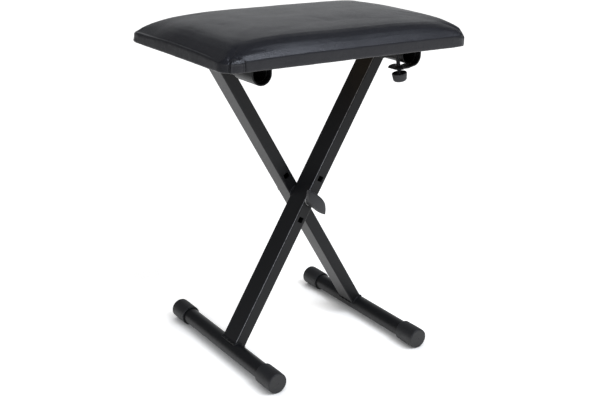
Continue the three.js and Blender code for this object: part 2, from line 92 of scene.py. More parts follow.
# ------------------------------------------------------------ shader node helpers
class Mat:
    def __init__(self, name, **values):
        self.m = bpy.data.materials.new(name)
        self.m.use_nodes = True
        self.t = self.m.node_tree
        self.bsdf = next(n for n in self.t.nodes if n.type == "BSDF_PRINCIPLED")
        for k, v in values.items():
            self.bsdf.inputs[k.replace("_", " ")].default_value = v
        self.coord = self.t.nodes.new("ShaderNodeTexCoord")

    def node(self, kind, settings=None, **inputs):
        n = self.t.nodes.new(kind)
        for k, v in (settings or {}).items():
            setattr(n, k, v)
        for k, v in inputs.items():
            sock = n.inputs[k.replace("_", " ")]
            if isinstance(v, bpy.types.NodeSocket):
                self.t.links.new(v, sock)
            else:
                sock.default_value = v
        return n

    def place(self, scale=(1, 1, 1), turn=(0, 0, 0)):
        n = self.node("ShaderNodeMapping", Vector=self.coord.outputs["Object"])
        n.inputs["Scale"].default_value = scale
        n.inputs["Rotation"].default_value = turn
        return n.outputs[0]

    def noise(self, vec, scale, detail=3.0, rough=0.55, distort=0.0):
        return self.node("ShaderNodeTexNoise", Vector=vec, Scale=scale, Detail=detail, Roughness=rough, Distortion=distort).outputs["Fac"]

    def ramp(self, fac, stops, interpolation="LINEAR"):
        n = self.node("ShaderNodeValToRGB", Fac=fac)
        n.color_ramp.interpolation = interpolation
        e = n.color_ramp.elements
        while len(e) < len(stops):
            e.new(0.5)
        for el, (p, c) in zip(e, stops):
            el.position = p
            el.color = (c, c, c, 1) if isinstance(c, (int, float)) else (*c, 1)
        return n.outputs["Color"]

    def math(self, op, a, b=0.0, c=0.0, clamp=False):
        n = self.t.nodes.new("ShaderNodeMath")
        n.operation, n.use_clamp = op, clamp
        for i, v in enumerate((a, b, c)):
            if isinstance(v, bpy.types.NodeSocket):
                self.t.links.new(v, n.inputs[i])
            else:
                n.inputs[i].default_value = v
        return n.outputs[0]

    def mix(self, fac, a, b):
        n = self.t.nodes.new("ShaderNodeMix")
        n.data_type = "RGBA"
        for sock, v in ((n.inputs[0], fac), (n.inputs[6], a), (n.inputs[7], b)):
            if isinstance(v, bpy.types.NodeSocket):
                self.t.links.new(v, sock)
            else:
                sock.default_value = (*v, 1) if isinstance(v, tuple) and len(v) == 3 else v
        return n.outputs[2]

    def bump(self, height, strength, distance, before=None):
        n = self.node("ShaderNodeBump", Height=height, Strength=strength, Distance=distance)
        if before is not None:
            self.t.links.new(before, n.inputs["Normal"])
        return n.outputs[0]

    def set(self, **sockets):
        for k, v in sockets.items():
            self.t.links.new(v, self.bsdf.inputs[k.replace("_", " ")])
        return self.m


def paint_material():
    m = Mat("satin_black_paint", Metallic=0.0, Specular_IOR_Level=0.35, IOR=1.34)
    p = m.place()
    broad = m.noise(p, 18, 3, 0.6)
    fine = m.noise(p, 1500, 2, 0.5)
    specks = m.node("ShaderNodeTexVoronoi", {"feature": "F1"}, Vector=p, Scale=420.0).outputs["Distance"]
    dust = m.ramp(m.noise(p, 260, 4, 0.7), [(0.62, 0.0), (0.8, 1.0)])
    colour = m.mix(m.math("MULTIPLY", dust, 0.25), (0.0108, 0.0108, 0.0114), (0.037, 0.036, 0.035))
    # a painted highlight: a light grey line, broken into patches by noise, on the one rounded corner of each leg that
    # faces the front-left lamp
    wear_and_painted_highlight = m.node("ShaderNodeAttribute", {"attribute_name": "wear_and_painted_highlight"}).outputs["Fac"]
    patchy = m.ramp(m.noise(m.place(), 420, 3, 0.6), [(0.36, 0.35), (0.6, 1.0)])
    colour = m.mix(m.math("MULTIPLY", wear_and_painted_highlight, patchy), colour, (0.42, 0.42, 0.42))
    rough = m.math("ADD", m.math("MULTIPLY_ADD", broad, 0.08, 0.32), m.math("MULTIPLY", dust, 0.05))
    b1 = m.bump(fine, 0.10, 0.00006)
    b2 = m.bump(specks, 0.06, 0.00012, b1)
    return m.set(Base_Color=colour, Roughness=rough, Normal=b2)


def rubber_material():
    m = Mat("dark_grey_rubber", Metallic=0.0)
    p = m.place()
    broad = m.noise(p, 40, 4, 0.6)
    grit = m.noise(p, 2200, 3, 0.7)
    dust = m.ramp(m.noise(p, 120, 5, 0.7, 0.4), [(0.5, 0.0), (0.75, 1.0)])
    colour = m.mix(m.math("MULTIPLY", dust, 0.35), (0.0122, 0.0122, 0.0130), (0.030, 0.0287, 0.0273))
    rough = m.math("MULTIPLY_ADD", broad, 0.16, 0.50)
    b1 = m.bump(grit, 0.35, 0.00008)
    b2 = m.bump(broad, 0.15, 0.0004, b1)
    return m.set(Base_Color=colour, Roughness=rough, Normal=b2)


def zinc_material():
    m = Mat("bright_zinc", Metallic=1.0)
    p = m.place()
    cloud = m.noise(p, 220, 4, 0.6, 0.6)
    fine = m.noise(m.place((1, 1, 6)), 900, 3, 0.6)
    colour = m.mix(cloud, (0.42, 0.43, 0.45), (0.62, 0.60, 0.55))
    rough = m.math("MULTIPLY_ADD", fine, 0.18, 0.24)
    return m.set(Base_Color=colour, Roughness=rough, Normal=m.bump(fine, 0.12, 0.00004))


def black_steel_material():
    m = Mat("blackened_steel", Metallic=0.6)
    p = m.place()
    wear_and_painted_highlight = m.ramp(m.noise(p, 600, 4, 0.65), [(0.52, 0.0), (0.72, 1.0)])
    colour = m.mix(m.math("MULTIPLY", wear_and_painted_highlight, 0.5), (0.018, 0.018, 0.02), (0.10, 0.10, 0.10))
    rough = m.math("MULTIPLY_ADD", wear_and_painted_highlight, -0.08, 0.40)
    return m.set(Base_Color=colour, Roughness=rough, Normal=m.bump(m.noise(p, 1400, 2), 0.12, 0.00005))


def plastic_material():
    m = Mat("moulded_black_plastic", Metallic=0.0, Specular_IOR_Level=0.40)
    p = m.place()
    spark = m.noise(p, 2600, 3, 0.7)
    broad = m.noise(p, 70, 3, 0.5)
    scuff = m.ramp(m.noise(p, 300, 5, 0.75, 0.8), [(0.58, 0.0), (0.8, 1.0)])
    colour = m.mix(m.math("MULTIPLY", scuff, 0.3), (0.020, 0.020, 0.0215), (0.043, 0.043, 0.045))
    rough = m.math("MULTIPLY_ADD", broad, 0.12, 0.42)
    return m.set(Base_Color=colour, Roughness=rough, Normal=m.bump(spark, 0.30, 0.00008))


def vinyl_material():
    m = Mat("grained_black_vinyl", Metallic=0.0, Specular_IOR_Level=0.32)
    # grain cells drawn out a little across the seat's short side, as on pulled sheet
    warp = m.node("ShaderNodeTexNoise", Vector=m.place(), Scale=260.0, Detail=2.0, Roughness=0.5)
    vec = m.node("ShaderNodeVectorMath", {"operation": "MULTIPLY_ADD"})
    m.t.links.new(warp.outputs["Color"], vec.inputs[0])
    vec.inputs[1].default_value = (0.0012, 0.0012, 0.0012)
    m.t.links.new(m.place((1.0, 0.72, 0.8)), vec.inputs[2])
    cells = m.node("ShaderNodeTexVoronoi", {"feature": "DISTANCE_TO_EDGE"}, Vector=vec.outputs[0], Scale=640.0).outputs["Distance"]
    valleys = m.ramp(cells, [(0.0, 0.0), (0.09, 0.72), (0.30, 1.0)])
    big = m.node("ShaderNodeTexVoronoi", {"feature": "DISTANCE_TO_EDGE"}, Vector=vec.outputs[0], Scale=190.0).outputs["Distance"]
    folds = m.ramp(big, [(0.0, 0.0), (0.05, 0.8), (0.2, 1.0)])
    pores = m.noise(m.place(), 3200, 2, 0.6)
    soft = m.noise(m.place((1, 1, 1)), 22, 4, 0.6)
    cloud = m.noise(m.place(), 6.5, 3, 0.5)
    base = m.mix(cloud, (0.0175, 0.0175, 0.0205), (0.0225, 0.0225, 0.0258))
    colour = m.mix(m.math("MULTIPLY", m.math("SUBTRACT", 1.0, valleys), 0.45), base, (0.006, 0.006, 0.007))
    rough = m.math("ADD", m.math("MULTIPLY_ADD", soft, 0.10, 0.30), m.math("MULTIPLY", valleys, -0.05))
    drawn = m.noise(m.place((1.0, 0.26, 0.34), (0, 0, 0.12)), 330, 3, 0.5, 0.5)
    pebble = m.noise(m.place(), 300, 2, 0.5)
    b0 = m.bump(soft, 0.12, 0.0009)
    b0 = m.bump(drawn, 0.5, 0.0004, b0)
    b0 = m.bump(pebble, 0.2, 0.00012, b0)
    b1 = m.bump(folds, 0.10, 0.00022, b0)
    b2 = m.bump(valleys, 0.42, 0.00016, b1)
    b3 = m.bump(pores, 0.14, 0.00005, b2)
    return m.set(Base_Color=colour, Roughness=rough, Normal=b3)


def plywood_material():
    m = Mat("plywood", Metallic=0.0)
    grain = m.node("ShaderNodeTexWave", {"wave_type": "BANDS", "bands_direction": "Y"}, Vector=m.place((0.6, 1, 1)), Scale=38.0, Distortion=9.0, Detail=4.0, Detail_Scale=1.4)
    streak = m.noise(m.place((3, 60, 60)), 9, 5, 0.65)
    colour = m.mix(m.math("MULTIPLY", grain.outputs["Fac"], 0.55), (0.34, 0.25, 0.155), (0.22, 0.15, 0.085))
    colour = m.mix(m.math("MULTIPLY", streak, 0.4), colour, (0.14, 0.095, 0.055))
    # layers along the edge
    ply = m.node("ShaderNodeTexWave", {"wave_type": "BANDS", "bands_direction": "Z"}, Vector=m.place(), Scale=66.0, Distortion=0.4)
    rough = m.math("MULTIPLY_ADD", streak, 0.2, 0.62)
    b = m.bump(streak, 0.3, 0.0003)
    return m.set(Base_Color=colour, Roughness=rough, Normal=m.bump(ply.outputs["Fac"], 0.05, 0.0001, b))


def foam_material():
    m = Mat("open_cell_foam", Metallic=0.0, Roughness=0.95)
    cells = m.node("ShaderNodeTexVoronoi", {"feature": "F1"}, Vector=m.place(), Scale=900.0).outputs["Distance"]
    colour = m.mix(cells, (0.60, 0.50, 0.26), (0.78, 0.70, 0.45))
    return m.set(Base_Color=colour, Normal=m.bump(cells, 0.5, 0.0005))


PAINT, RUBBER, ZINC, PLASTIC = paint_material(), rubber_material(), zinc_material(), plastic_material()
VINYL, PLYWOOD, FOAM, BLACKENED = vinyl_material(), plywood_material(), foam_material(), black_steel_material()
SLOT_MATERIAL = {"painted_steel": PAINT, "foot_rubber": RUBBER, "zinc_steel": ZINC, "black_plastic": PLASTIC, "vinyl": VINYL,
                 "seat_foam": FOAM, "plywood": PLYWOOD, "blackened_steel": BLACKENED}
NODE_SLOT = {s["node"]: s["material_slot"] for s in frame["record"]["subparts"]}
NODE_BODY = {n: b for b, ns in frame["record"]["behaviour"]["bodies"].items() for n in ns}
for name, obj in frame["nodes"].items():
    obj.data.materials.clear()
    obj.data.materials.append(SLOT_MATERIAL[NODE_SLOT[name]])


# ------------------------------------------------------------ mesh helpers (millimetres in, metres out)
def build(name, verts, faces, matrix=None, normals=True):
    me = bpy.data.meshes.new(name)
    me.from_pydata([(x * MM, y * MM, z * MM) for x, y, z in verts], [], faces)
    if matrix is not None:
        me.transform(matrix)
    if normals:
        bm = bmesh.new()
        bm.from_mesh(me)
        bmesh.ops.recalc_face_normals(bm, faces=bm.faces)
        bm.to_mesh(me)
        bm.free()
    obj = bpy.data.objects.new(name, me)
    bpy.context.scene.collection.objects.link(obj)
    return obj


def at(x=0, y=0, z=0, turn=0.0, axis="Y"):
    return Matrix.Translation((x * MM, y * MM, z * MM)) @ Matrix.Rotation(turn, 4, axis)


def evaluated(obj):
    dg = bpy.context.evaluated_depsgraph_get()
    dg.update()
    return bpy.data.meshes.new_from_object(obj.evaluated_get(dg))


def bake_modifiers(obj):
    me = evaluated(obj)
    obj.modifiers.clear()
    old = obj.data
    obj.data = me
    bpy.data.meshes.remove(old)


def boolean(obj, *cutters, op="DIFFERENCE"):
    for c in cutters:
        mod = obj.modifiers.new("cut", "BOOLEAN")
        mod.operation, mod.object, mod.solver = op, c, "EXACT"
    bake_modifiers(obj)
    for c in cutters:
        me = c.data
        bpy.data.objects.remove(c)
        bpy.data.meshes.remove(me)
    return obj


def smooth(obj, sharp=38.0, bevel=0.0, steps=2, flat_weight=True):
    me = obj.data
    for p in me.polygons:
        p.use_smooth = True
    if bevel:
        mod = obj.modifiers.new("edge", "BEVEL")
        mod.width, mod.segments, mod.limit_method, mod.angle_limit = bevel * MM, steps, "ANGLE", sharp * RAD
        mod.use_clamp_overlap = True
        mod.miter_outer = "MITER_ARC"
    else:
        me.set_sharp_from_angle(angle=sharp * RAD)
    if flat_weight:
        w = obj.modifiers.new("weight", "WEIGHTED_NORMAL")
        w.keep_sharp, w.weight = True, 50
    return obj


def put(obj, node, material=None, *more_nodes):
    """Places obj on the body of a CAD node that it stands for."""
    obj.data.materials.clear()
    obj.data.materials.append(material or SLOT_MATERIAL[NODE_SLOT[node]])
    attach(obj, NODE_BODY[node])
    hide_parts(node, *more_nodes)
    return obj


def extra(obj, like, material=None):
    """A detail that no CAD node stands for, on the body of node `like`."""
    obj.data.materials.clear()
    obj.data.materials.append(material or SLOT_MATERIAL[NODE_SLOT[like]])
    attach(obj, NODE_BODY[like])
    return obj


def fillet(points, radius, steps=4, closed=False):
    """Rounds the corners of a 2-D line; radius is one number or one per point."""
    n, out = len(points), []
    for i, p in enumerate(points):
        r = radius if isinstance(radius, (int, float)) else radius[i]
        if r <= 0 or (not closed and i in (0, n - 1)):
            out.append(tuple(p))
            continue
        a, b, c = Vector(points[i - 1]), Vector(p), Vector(points[(i + 1) % n])
        u, v = (a - b), (c - b)
        lu, lv = u.length, v.length
        u, v = u / lu, v / lv
        ang = math.acos(max(-1, min(1, u.dot(v))))
        if ang > math.pi - 0.02 or ang < 0.02:
            out.append(tuple(p))
            continue
        d = min(r / math.tan(ang / 2), lu * 0.49, lv * 0.49)
        r2 = d * math.tan(ang / 2)
        mid = (u + v).normalized()
        centre = b + mid * (r2 / math.sin(ang / 2))
        s, e = b + u * d - centre, b + v * d - centre
        turn = math.atan2(s.x * e.y - s.y * e.x, s.dot(e))
        for k in range(steps + 1):
            t = turn * k / steps
            out.append((centre.x + s.x * math.cos(t) - s.y * math.sin(t), centre.y + s.x * math.sin(t) + s.y * math.cos(t)))
    return out


def lathe(name, profile, n=64, closed=False, wave=None, matrix=None):
    """profile: (radius, height) pairs along the local Z axis. Points on the axis close it, or closed=True joins its ends."""
    verts, rings = [], []
    for r, h in profile:
        if r < 1e-6:
            rings.append([len(verts)])
            verts.append((0, 0, h))
        else:
            ring = []
            for i in range(n):
                a = 2 * math.pi * i / n
                rr = wave(r, h, a) if wave else r
                ring.append(len(verts))
                verts.append((rr * math.cos(a), rr * math.sin(a), h))
            rings.append(ring)
    faces = []
    pairs = list(zip(rings, rings[1:])) + ([(rings[-1], rings[0])] if closed else [])
    for a, b in pairs:
        if len(a) == 1 and len(b) == 1:
            continue
        for i in range(n):
            j = (i + 1) % n
            if len(a) == 1:
                faces.append((a[0], b[j], b[i]))
            elif len(b) == 1:
                faces.append((a[i], a[j], b[0]))
            else:
                faces.append((a[i], a[j], b[j], b[i]))
    return build(name, verts, faces, matrix)


ALONG_Y = Matrix.Rotation(-math.pi / 2, 4, "X")      # local +Z to +Y
AWAY_Y = Matrix.Rotation(math.pi / 2, 4, "X")        # local +Z to -Y


def arc(cx, cy, r, a0, a1, n):
    return [(cx + r * math.cos((a0 + (a1 - a0) * i / n) * RAD), cy + r * math.sin((a0 + (a1 - a0) * i / n) * RAD)) for i in range(n + 1)]


def round_rect(w, h, r, n=6):
    x, y = w / 2 - r, h / 2 - r
    return arc(x, -y, r, -90, 0, n) + arc(x, y, r, 0, 90, n) + arc(-x, y, r, 90, 180, n) + arc(-x, -y, r, 180, 270, n)


def prism(name, outline, z0, z1, hole=None, matrix=None):
    """An upright prism of a closed outline, with an optional inner outline."""
    n = len(outline)
    verts = [(x, y, z0) for x, y in outline] + [(x, y, z1) for x, y in outline]
    faces = [(i, (i + 1) % n, n + (i + 1) % n, n + i) for i in range(n)]
    if hole is None:
        faces += [tuple(range(n))[::-1], tuple(range(n, 2 * n))]
    else:
        m, b = len(hole), 2 * n
        verts += [(x, y, z0) for x, y in hole] + [(x, y, z1) for x, y in hole]
        faces += [(b + i, b + (i + 1) % m, b + m + (i + 1) % m, b + m + i) for i in range(m)]
        if m == n:
            faces += [(i, (i + 1) % n, b + (i + 1) % n, b + i) for i in range(n)]
            faces += [(n + i, n + (i + 1) % n, b + n + (i + 1) % n, b + n + i) for i in range(n)]
    return build(name, verts, faces, matrix)


def along_y(name, outline, y0, y1, matrix=None):
    """A closed outline in X,Z run along Y."""
    n = len(outline)
    verts = [(x, y0, z) for x, z in outline] + [(x, y1, z) for x, z in outline]
    faces = [(i, (i + 1) % n, n + (i + 1) % n, n + i) for i in range(n)] + [tuple(range(n)), tuple(range(n, 2 * n))[::-1]]
    return build(name, verts, faces, matrix)


def cuboid(name, x0, x1, y0, y1, z0, z1, matrix=None):
    v = [(x, y, z) for z in (z0, z1) for y in (y0, y1) for x in (x0, x1)]
    f = [(0, 2, 3, 1), (4, 5, 7, 6), (0, 1, 5, 4), (2, 6, 7, 3), (0, 4, 6, 2), (1, 3, 7, 5)]
    return build(name, v, f, matrix)


# ------------------------------------------------------------ legs, tubes, caps
def leg(node, y_range, sign):
    mid = (y_range[0] + y_range[1]) / 2
    outer = round_rect(LEG_W, LEG_D, LEG_CORNER, 6)
    inner = round_rect(LEG_W - 2 * LEG_WALL, LEG_D - 2 * LEG_WALL, 0.8, 6)
    obj = prism(node + "_tube", [(x, y + mid) for x, y in outer], -LEG_LOWER, LEG_UPPER, [(x, y + mid) for x, y in inner])
    tools = []
    for s in (-LEG_LOWER, LEG_UPPER):
        tools.append(lathe("cope", [(0, -40), (TUBE_R + 0.05, -40), (TUBE_R + 0.05, 40), (0, 40)], 96, matrix=at(0, mid, s) @ ALONG_Y))
    for k in (-1, 0, 1):
        sq = round_rect(HOLE_SQ, HOLE_SQ, 0.9, 3)
        tools.append(prism("hole", sq, -40, 40, matrix=at(0, mid, k * HOLE_PITCH) @ ALONG_Y))
    boolean(obj, *tools)
    # marks where the highlight is painted: the middle of the leg's one front corner that catches the front-left lamp
    wear_and_painted_highlight = obj.data.attributes.new("wear_and_painted_highlight", "FLOAT", "POINT")
    cx, cy = -LEG_W / 2 + LEG_CORNER, y_range[0] + LEG_CORNER
    for v, item in zip(obj.data.vertices, wear_and_painted_highlight.data):
        x, y = v.co.x / MM * sign, v.co.y / MM
        turn = math.degrees(math.atan2(cy - y, cx - x))
        item.value = 1.0 if x < cx and y < cy and 38 < turn < 52 and math.hypot(x - cx, y - cy) > LEG_CORNER - 0.3 else 0.0
    obj.data.transform(at(0, 0, PIVOT_Z, sign * TILT, "Y"))
    smooth(obj, 42, bevel=0.3, steps=2)
    return put(obj, node)


def bead(name, path, radius, body_like, seed):
    """A weld bead along a closed path of points, with its ripples."""
    n, k = len(path), 12
    pts = [Vector(p) for p in path]
    centre = sum(pts, Vector()) / n
    verts, faces = [], []
    for i, p in enumerate(pts):
        t = (pts[(i + 1) % n] - pts[i - 1]).normalized()
        side = (p - centre) - t * (p - centre).dot(t)
        side.normalize()
        other = t.cross(side)
        swell = 0.16 * math.sin(i * 2 * math.pi * (n // 9) / n) + 0.22 * noise.noise(Vector((i * 0.13, seed, 0.3)))
        r = radius * (1 + swell)
        for j in range(k):
            a = 2 * math.pi * j / k
            verts.append(p + side * r * math.cos(a) + other * r * math.sin(a))
    for i in range(n):
        for j in range(k):
            a, b = i * k + j, i * k + (j + 1) % k
            c, d = ((i + 1) % n) * k + (j + 1) % k, ((i + 1) % n) * k + j
            faces.append((a, b, c, d))
    obj = build(name, [tuple(v) for v in verts], faces)
    smooth(obj, 80, flat_weight=False)
    return extra(obj, body_like)


def weld(name, y_range, sign, top, node, seed):
    mid = (y_range[0] + y_range[1]) / 2
    outline = round_rect(LEG_W + 0.6, LEG_D + 0.6, LEG_CORNER + 0.8, 5)
    line = []
    m = len(outline)
    for i in range(m):                                # even steps of about 1 mm
        a, b = Vector(outline[i]), Vector(outline[(i + 1) % m])
        steps = max(1, int((b - a).length / 0.95))
        for s in range(steps):
            line.append(a.lerp(b, s / steps))
    place = at(0, 0, PIVOT_Z, sign * TILT, "Y")
    path = []
    for p in line:
        h = math.sqrt(max(0.0, (TUBE_R + 0.35) ** 2 - p.x ** 2))
        z = LEG_UPPER - h if top else -LEG_LOWER + h
        v = place @ (Vector((p.x, p.y + mid, z)) * MM)
        path.append(v / MM)
    return bead(name, path, 1.75, node, seed)


def tube(node, y0, y1, x, z):
    ri = TUBE_R - TUBE_WALL
    prof = fillet([(TUBE_R, y0), (TUBE_R, y1), (ri, y1), (ri, y0)], [0.45, 0.45, 0.3, 0.3], 3, closed=True)
    obj = lathe(node + "_pipe", prof, 96, closed=True, matrix=at(x, 0, z) @ ALONG_Y)
    smooth(obj, 38)
    return put(obj, node)


def cap(node, x, side):
    ri = TUBE_R + GAP
    prof = [(0, 0.35), (1.15, 0.35), (1.5, 0.0)]
    prof += fillet([(1.5, 0.0), (CAP_R - 0.35, 0.0), (CAP_R, 12), (CAP_R - 0.3, CAP_LEN), (ri, CAP_LEN), (ri, CAP_LEN - 3)], [0, 2.0, 20, 0.9, 0.5, 0], 6)[1:]
    prof += [(ri, CAP_END), (0, CAP_END)]
    m = at(x, side * FOOT_LEN / 2, CAP_R) @ (ALONG_Y if side < 0 else AWAY_Y)
    obj = lathe(node + "_sleeve", prof, 112, matrix=m)
    smooth(obj, 50)
    return put(obj, node)


for prefix, y_range, sign in (("rear", REAR_LEG_Y, -1), ("front", FRONT_LEG_Y, 1)):
    leg(prefix + "_leg", y_range, sign)
    end = FOOT_LEN / 2 - CAP_END - GAP
    tube(prefix + "_foot_tube", -end, end, -sign * FOOT_X, CAP_R)
    tube(prefix + "_top_tube", -CROSS_HALF, CROSS_HALF, sign * CROSS_X, CROSS_Z)
    cap(prefix + "_foot_cap_near", -sign * FOOT_X, -1)
    cap(prefix + "_foot_cap_far", -sign * FOOT_X, 1)
    weld(prefix + "_foot_weld", y_range, sign, False, prefix + "_leg", 1.7 + sign)
    weld(prefix + "_top_weld", y_range, sign, True, prefix + "_leg", 5.3 + sign)


# ------------------------------------------------------------ pivot hardware
FACE = FRONT_LEG_Y[0]
BOLT_R = 3.9


def thread(r, h, a, pitch, depth, h0, h1):
    if not h0 <= h <= h1:
        return r
    t = (h / pitch - a / (2 * math.pi)) % 1.0
    return r - depth * (1 - abs(2 * t - 1)) if t else r - depth * 0


def pivot_parts():
    y1 = REAR_LEG_Y[1]
    head = [(0, 4.6), (2.6, 4.5), (5.6, 3.9), (8.4, 2.4), (9.5, 0.9), (9.6, 0.35), (9.3, 0.0), (0, 0)]
    prof = fillet(head, [0, 6, 8, 3, 1.2, 0.5, 0.2, 0], 4)
    obj = lathe("pivot_bolt_body", prof, 72, matrix=at(0, y1 + GAP, PIVOT_Z) @ ALONG_Y)
    neck = prism("neck", round_rect(8.0, 8.0, 0.8, 3), -3.7, 0.4, matrix=at(0, y1 + GAP, PIVOT_Z, -TILT, "Y") @ ALONG_Y)
    total = y1 + 0.6 - (FACE - 16.0)
    shank = lathe("shank", [(0, 0), (BOLT_R, 0), (BOLT_R, total - 0.9), (BOLT_R - 0.8, total), (0, total)], 40, matrix=at(0, y1 + 0.6, PIVOT_Z) @ AWAY_Y)
    boolean(obj, neck, shank, op="UNION")
    put(smooth(obj, 40), "pivot_bolt")

    def ring(node, ro, ri, ya, yb, r):
        prof = fillet([(ri, 0), (ro, 0), (ro, yb - ya), (ri, yb - ya)], r, 3, closed=True)
        o = lathe(node + "_ring", prof, 64, closed=True, matrix=at(0, ya, PIVOT_Z) @ ALONG_Y)
        put(smooth(o, 40), node)

    ring("leg_spacer_washer", 12.0, BOLT_R + 0.4, FRONT_LEG_Y[1] + GAP, REAR_LEG_Y[0] - GAP, 0.25)
    ring("pivot_washer", 10.0, BOLT_R + 0.4, FACE - 1.9, FACE - GAP, 0.3)


pivot_parts()


def wing_nut():
    """A hub with two broad wings, drawn as one loft along the wings' line and joined to a round boss."""
    reach, n, k = 26.2, 61, 36
    verts, faces = [], []

    def half_width(s):
        return 9.9 * max(0.0, 1 - (abs(s) / reach) ** 2.1) ** 0.95

    for i in range(n):
        t = -1 + 2 * i / (n - 1)
        s = reach * math.sin(t * math.pi / 2)
        e = max(0.0, 1 - abs(s / reach) ** 14) ** 0.5     # closes the tips
        w = max(0.05, half_width(s) * e)
        f = 22.0 - 2.6 * (abs(s) / reach) ** 2            # front, mm ahead of the leg's face
        b = 7.2 + 3.6 * (abs(s) / reach) ** 1.6 if abs(s) > 8.5 else 7.2
        mid, half = (f + b) / 2, (f - b) / 2 * max(0.03, e ** 0.6)
        for j in range(k):
            a = 2 * math.pi * j / k
            c, d = math.cos(a), math.sin(a)
            p = 0.52
            x = math.copysign(abs(c) ** p, c) * w * (1 + 0.13 * math.copysign(min(1.0, abs(s) / 9), s) * (1 if c > 0 else -1))
            y = math.copysign(abs(d) ** p, d) * half
            verts.append((s, x, mid + y))
    for i in range(n - 1):
        for j in range(k):
            faces.append((i * k + j, i * k + (j + 1) % k, (i + 1) * k + (j + 1) % k, (i + 1) * k + j))
    faces += [tuple(range(k)), tuple(range((n - 1) * k, n * k))[::-1]]
    # local X along the wings, local Z ahead of the leg's face
    m = at(0, FACE, PIVOT_Z, 56 * RAD, "Y") @ AWAY_Y
    obj = build("wing_nut_body", verts, faces, m)
    boss = lathe("boss", fillet([(0, 2.2), (9.9, 2.2), (9.9, 9.5), (0, 9.5)], [0, 0.6, 0.2, 0], 4), 72, matrix=m)
    pocket = prism("pocket", [(7.8 * math.cos(q * RAD), 7.8 * math.sin(q * RAD)) for q in range(0, 360, 60)], 1.0, 9.3, matrix=m)
    bore = lathe("bore", [(0, 0), (4.4, 0), (4.4, 19), (0, 19)], 40, matrix=m)
    boolean(obj, boss, op="UNION")
    boolean(obj, pocket, bore)
    smooth(obj, 48, bevel=0.0)
    put(obj, "wing_nut")
    ins = prism("hex_insert", [(7.5 * math.cos(q * RAD), 7.5 * math.sin(q * RAD)) for q in range(0, 360, 60)], 2.5, 8.7, matrix=m)
    hole = lathe("hole", [(0, 0), (4.2, 0), (4.2, 12), (0, 12)], 40, matrix=m)
    boolean(ins, hole)
    put(smooth(ins, 30, bevel=0.25), "wing_nut_insert")


wing_nut()


# ------------------------------------------------------------ brackets, screws, clamps
def from_cad(node, name, bevel, angle=40, steps=2):
    """A copy of a CAD node's own mesh with softened edges."""
    me = frame["nodes"][node].data.copy()
    me.name = name
    bm = bmesh.new()
    bm.from_mesh(me)
    bmesh.ops.remove_doubles(bm, verts=bm.verts, dist=2e-6)
    bmesh.ops.dissolve_limit(bm, angle_limit=0.6 * RAD, verts=bm.verts, edges=bm.edges)
    bm.to_mesh(me)
    bm.free()
    obj = bpy.data.objects.new(name, me)
    bpy.context.scene.collection.objects.link(obj)
    return put(smooth(obj, angle, bevel, steps), node)


def saddle(node, side):
    ro, ri, end = 13.5 + STRAP_T, 13.5, 33.5
    f0, f1 = FLANGE_LOW - CROSS_Z, FLANGE_TOP - CROSS_Z
    outer = fillet([(-end, f0), (-ro, f0), (-ro, 0)], [0, 2.4, 0], 5)[:-1] + arc(0, 0, ro, 180, 360, 40) + fillet([(ro, 0), (ro, f0), (end, f0)], [0, 2.4, 0], 5)[1:]
    inner = fillet([(end, f1), (ri, f1), (ri, 0)], [0, 3.4, 0], 5)[:-1] + arc(0, 0, ri, 360, 180, 40) + fillet([(-ri, 0), (-ri, f1), (-end, f1)], [0, 3.4, 0], 5)[1:]
    ys = BRACKET_Y if side < 0 else (-BRACKET_Y[1], -BRACKET_Y[0])
    obj = along_y(node + "_band", outer + inner, ys[0], ys[1], at(-CROSS_X, 0, CROSS_Z))
    put(smooth(obj, 40, 0.45, 3), node)


def pan_head(name, driver):
    """A pan-head screw pointing up, its seat at z = 0."""
    prof = [(0, -2.7)] + fillet([(0, -2.7), (2.8, -2.65), (4.2, -1.3), (4.2, 0), (1.9, 0)], [0, 2.0, 1.2, 0.15, 0], 5)[1:] + [(1.9, 14.5), (0, 16.6)]
    obj = lathe(name, prof, 48)
    w = 0.62
    a = cuboid("x1", -2.3, 2.3, -w, w, -3.2, -1.35)
    b = cuboid("x2", -w, w, -2.3, 2.3, -3.2, -1.35)
    boolean(obj, a, b)
    smooth(obj, 35, 0.08, 1)
    return obj


def screws():
    master = pan_head("pan_head_master", None)
    bake_modifiers(master)
    spots = []
    for side, word in ((-1, "near"), (1, "far")):
        for i, (x, y) in enumerate([(-CROSS_X - 25, 93), (-CROSS_X - 25, 66), (-CROSS_X + 25, 93), (-CROSS_X + 25, 66)]):
            spots.append((f"{word}_pivot_screw_{i + 1}", x, side * y, FLANGE_LOW - GAP))
        for i, (x, y, z) in enumerate([(CROSS_X + 27, 95, FLANGE_LOW - GAP), (CROSS_X + 27, 64, PLATE_Z[0] - GAP)]):
            spots.append((f"{word}_hook_screw_{i + 1}", x, side * y, z))
    for i, (node, x, y, z) in enumerate(spots):
        me = master.data.copy()
        me.transform(at(x, y, z) @ Matrix.Rotation((i * 37 % 90) * RAD, 4, "Z"))
        obj = bpy.data.objects.new(node + "_cross", me)
        bpy.context.scene.collection.objects.link(obj)
        put(obj, node)
    me = master.data
    bpy.data.objects.remove(master)
    bpy.data.meshes.remove(me)


